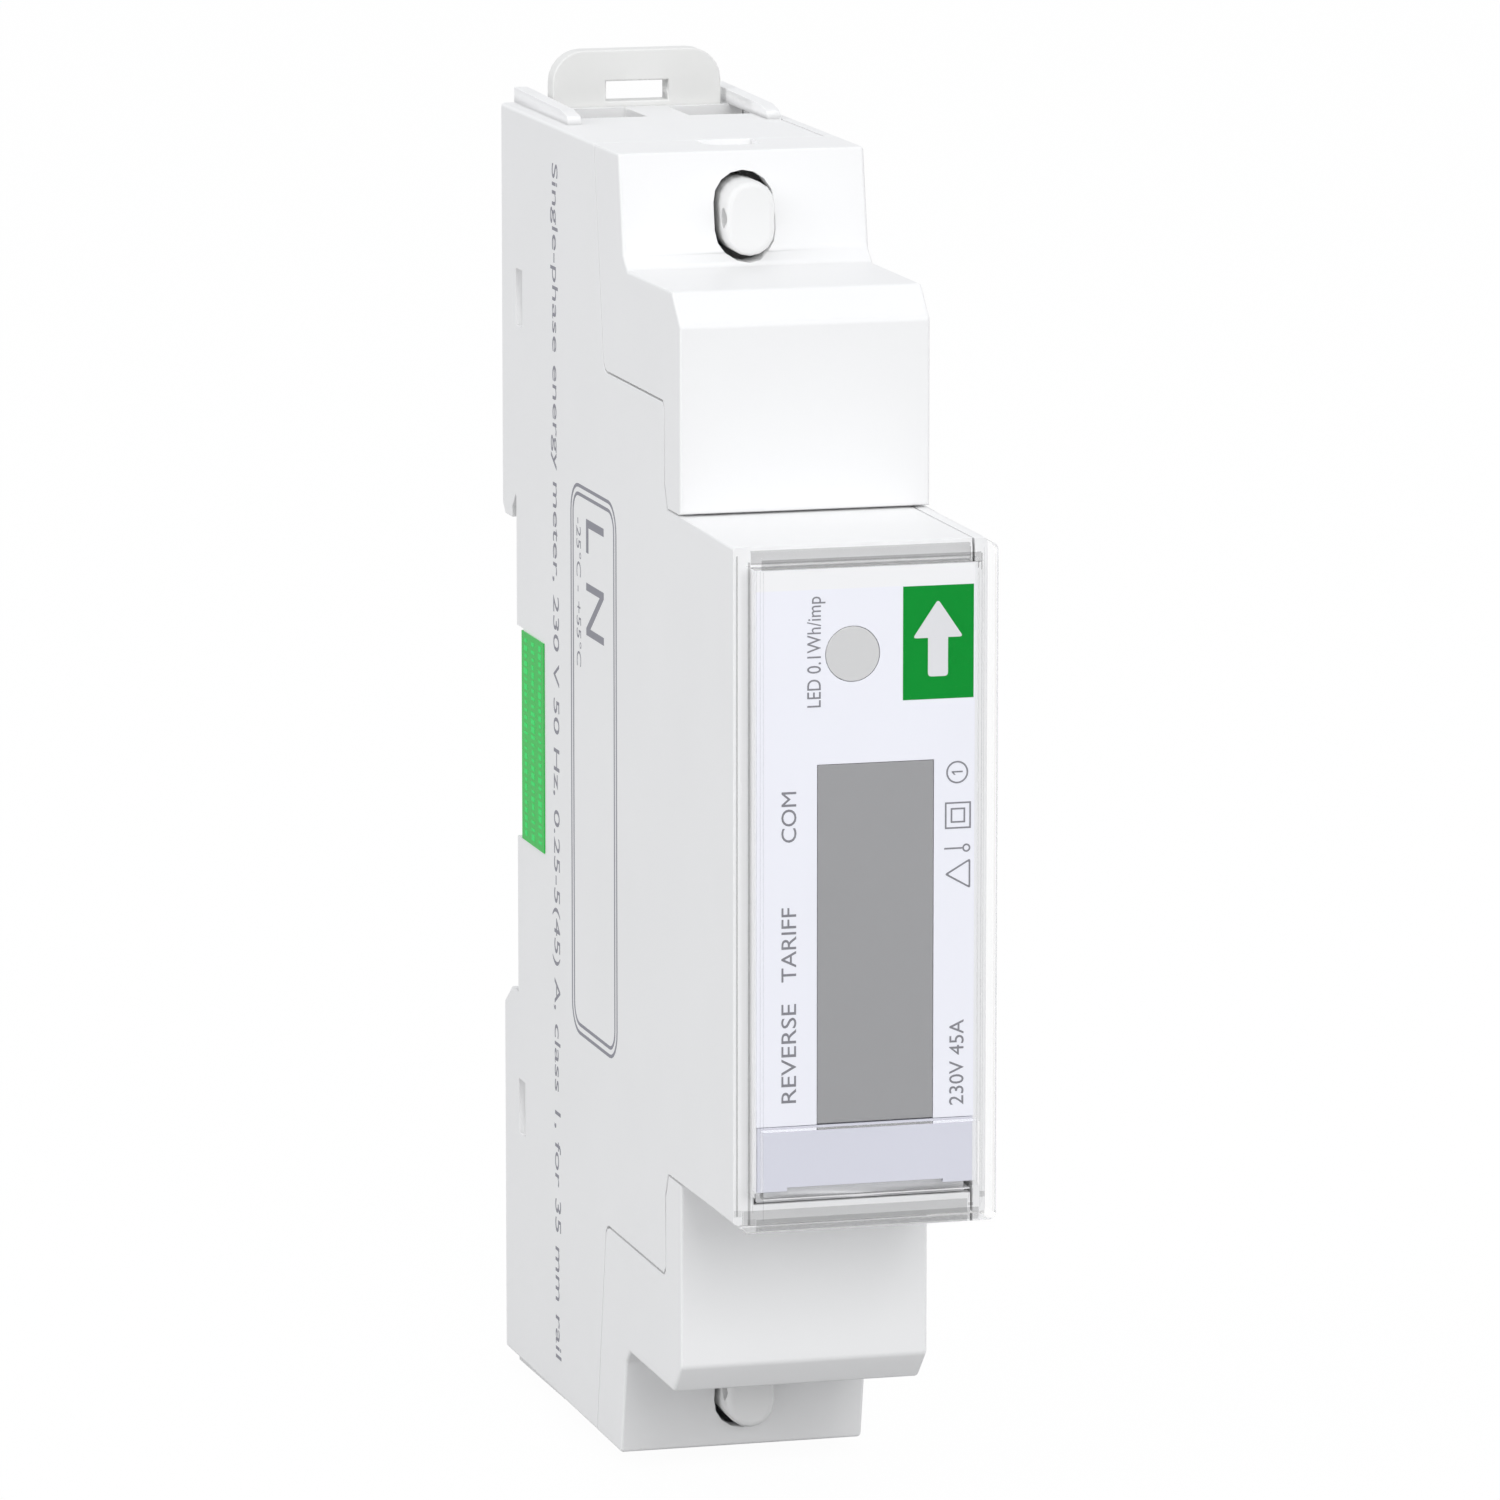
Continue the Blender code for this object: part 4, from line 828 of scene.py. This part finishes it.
soft_edged("face_label", film_material(), radius=0.02)
word_ink = ink("grey label ink", word_grey)
word("word_pulse", "LED 0.1Wh/imp", (-4.1, -3.1), (12.2, 19.6), cap=0.95)
word("word_com", "COM", (-5.83, -4.8), (3.2, 6.6), cap=1.03)
word("word_tariff", "TARIFF", (-5.83, -4.8), (-6.2, -1.2), cap=1.03)
word("word_reverse", "REVERSE", (-5.83, -4.8), (-14.4, -7.7), cap=1.03)
word("word_rating", "230V 45A", (5.73, 6.86), (-15.15, -9.36), cap=1.0)

symbol_line = 0.11
one = [(-0.02, -0.38), (0.08, -0.38), (0.08, 0.38), (0.0, 0.38), (-0.18, 0.22), (-0.18, 0.12), (-0.02, 0.22)]
stem = [(-0.055, -0.62), (0.055, -0.62), (0.055, 0.62), (-0.055, 0.62)]
peak = [(0, 0.9), (1.02, -0.9), (-1.02, -0.9)]
inner_peak = [(0, 0.66), (0.83, -0.79), (-0.83, -0.79)]
symbol("symbol_circle", ring(0.76, symbol_line), 6.29, 7.4)
symbol("symbol_one", [one], 6.29, 7.4)
symbol("symbol_double_square", square(0.9, symbol_line) + square(0.5, symbol_line), 6.35, 4.49)
symbol("symbol_line", [stem], 6.03, 2.27)
symbol("symbol_ring", ring(0.28, symbol_line, 20), 6.94, 2.27)
symbol("symbol_triangle", [softened(peak, 0.2), softened(inner_peak, 0.12)], 6.32, 0.53)

green_ink = ink("green field ink", field_green)
arrow_ink = ink("pale arrow ink", arrow_grey)
field = [[(-2.44, -3.81), (2.44, -3.81), (2.44, 3.81), (-2.44, 3.81)]]
lay("green_field", inked_shape(field), on_film(4.96, 16.21), rightwards, upwards, green_ink)
arrow = [(0, 2.86), (1.74, 0.31), (0.69, 0.31), (0.69, -2.29), (-0.69, -2.29), (-0.69, 0.31), (-1.74, 0.31)]
lay("green_field_arrow", inked_shape([softened(arrow, 0.26)]), on_film(4.93, 16.21, 1), rightwards, upwards,
    arrow_ink)

# ------------------------------------------------------------------------------ clear window
# A clear polycarbonate cap snaps over the window block.  Its pane covers the film and its side
# walls show as bright lines; grey lines of painted shade in its colour stand for the shade seen
# through its walls and lips.  It is open over the key.
from_front = -0.8           # Y of the shading normal, which always faces the ray, for a ray from the front
# grey lines of painted shade: each rectangle darkens the clear plastic's colour where shade shows through
# the cap's walls and lips
painted_shade_lines = ((-7.6, 7.45, 21.78, 22.40, 0.45), (-7.6, 7.45, 21.70, 21.80, 0.35),
              (-7.95, 7.45, -22.8, -21.85, 0.50), (-8.52, -8.36, -22.2, 22.3, 0.38),
              (-8.75, -8.0, -22.25, -21.8, 0.7), (7.5, 7.85, -21.2, -20.8, 0.55),
              (7.5, 7.85, -22.35, -22.15, 0.55), (7.45, 7.53, 21.2, 22.3, 0.30),
              (-7.5, -7.44, -22.0, 21.6, 0.72), (7.5, 7.56, -22.0, 21.2, 0.8),
              (8.42, 8.48, -22.2, 22.2, 0.8))         # left, right, low, high, and the clearness kept inside, which darkens the plastic as painted shade


def window_of():
    """One inside a rectangle on faces that a ray meets from the front, zero elsewhere."""
    group = bpy.data.node_groups.new("Front rectangle", "ShaderNodeTree")
    sockets(group, {"Left": 0.0, "Right": 0.0, "Low": 0.0, "High": 0.0}, "INPUT")
    sockets(group, {"Inside": 0.0}, "OUTPUT")
    given = add(group, "NodeGroupInput").outputs
    place = add(group, "ShaderNodeTexCoord")
    at = add(group, "ShaderNodeSeparateXYZ", {0: place.outputs["Object"]}).outputs
    front = add(group, "ShaderNodeSeparateXYZ", {0: place.outputs["Normal"]}).outputs["Y"]
    inside = add(group, "ShaderNodeMath", {0: front, 1: from_front}, operation="LESS_THAN").outputs[0]
    for value, bound, test in ((at["X"], "Left", "GREATER_THAN"), (at["X"], "Right", "LESS_THAN"),
                               (at["Z"], "Low", "GREATER_THAN"), (at["Z"], "High", "LESS_THAN")):
        held = add(group, "ShaderNodeMath", {0: value, 1: given[bound]}, operation=test)
        inside = add(group, "ShaderNodeMath", {0: inside, 1: held.outputs[0]},
                     operation="MULTIPLY").outputs[0]
    add(group, "NodeGroupOutput", {"Inside": inside})
    return group


def clear_material():
    """Clear plastic that lets lamp light through, darkened into grey lines of painted shade where its walls
    and lips show shade behind them.
    """
    material = bpy.data.materials.new("clear polycarbonate")
    material.use_nodes = True
    tree = material.node_tree
    shader = tree.nodes["Principled BSDF"]
    shader.inputs["Transmission Weight"].default_value = 1.0
    shader.inputs["Roughness"].default_value = 0.0
    shader.inputs["IOR"].default_value = 1.03
    rectangle = window_of()
    painted_shade_clearness = 1.0
    # each rectangle darkens the plastic's colour here: painted shade
    for left, right, low, high, painted_shade_kept in painted_shade_lines:
        painted_shade_mark = add(tree, "ShaderNodeGroup", node_tree=rectangle)
        for key, value in zip(("Left", "Right", "Low", "High"),
                              (left, right, mid_height + low, mid_height + high)):
            painted_shade_mark.inputs[key].default_value = value * mm
        level = add(tree, "ShaderNodeMapRange", {"Value": painted_shade_mark.outputs["Inside"], "To Min": 1.0,
                                                 "To Max": painted_shade_kept})
        painted_shade_clearness = add(tree, "ShaderNodeMath", {0: painted_shade_clearness, 1: level.outputs[0]},
                        operation="MULTIPLY").outputs[0]
    tint = add(tree, "ShaderNodeCombineColor", {"Red": painted_shade_clearness, "Green": painted_shade_clearness, "Blue": painted_shade_clearness})
    tree.links.new(tint.outputs[0], shader.inputs["Base Color"])
    seen = add(tree, "ShaderNodeLightPath")
    lamp = add(tree, "ShaderNodeBsdfTransparent", {"Color": (0.985, 0.985, 0.985, 1)})
    lit = add(tree, "ShaderNodeMath", {0: seen.outputs["Is Shadow Ray"], 1: seen.outputs["Is Diffuse Ray"]},
              operation="MAXIMUM")
    mixed = add(tree, "ShaderNodeMixShader", {0: lit.outputs[0], 1: shader.outputs[0], 2: lamp.outputs[0]})
    tree.links.new(mixed.outputs[0], tree.nodes["Material Output"].inputs["Surface"])
    return material


clear = copy_of("clear_window")
clear_mesh = bpy.data.meshes.new("clear_window_skin")
clear.to_mesh(clear_mesh)
clear.free()
stand_for(mesh_object("clear_window_skin", clear_mesh, clear_material()), "clear_window")
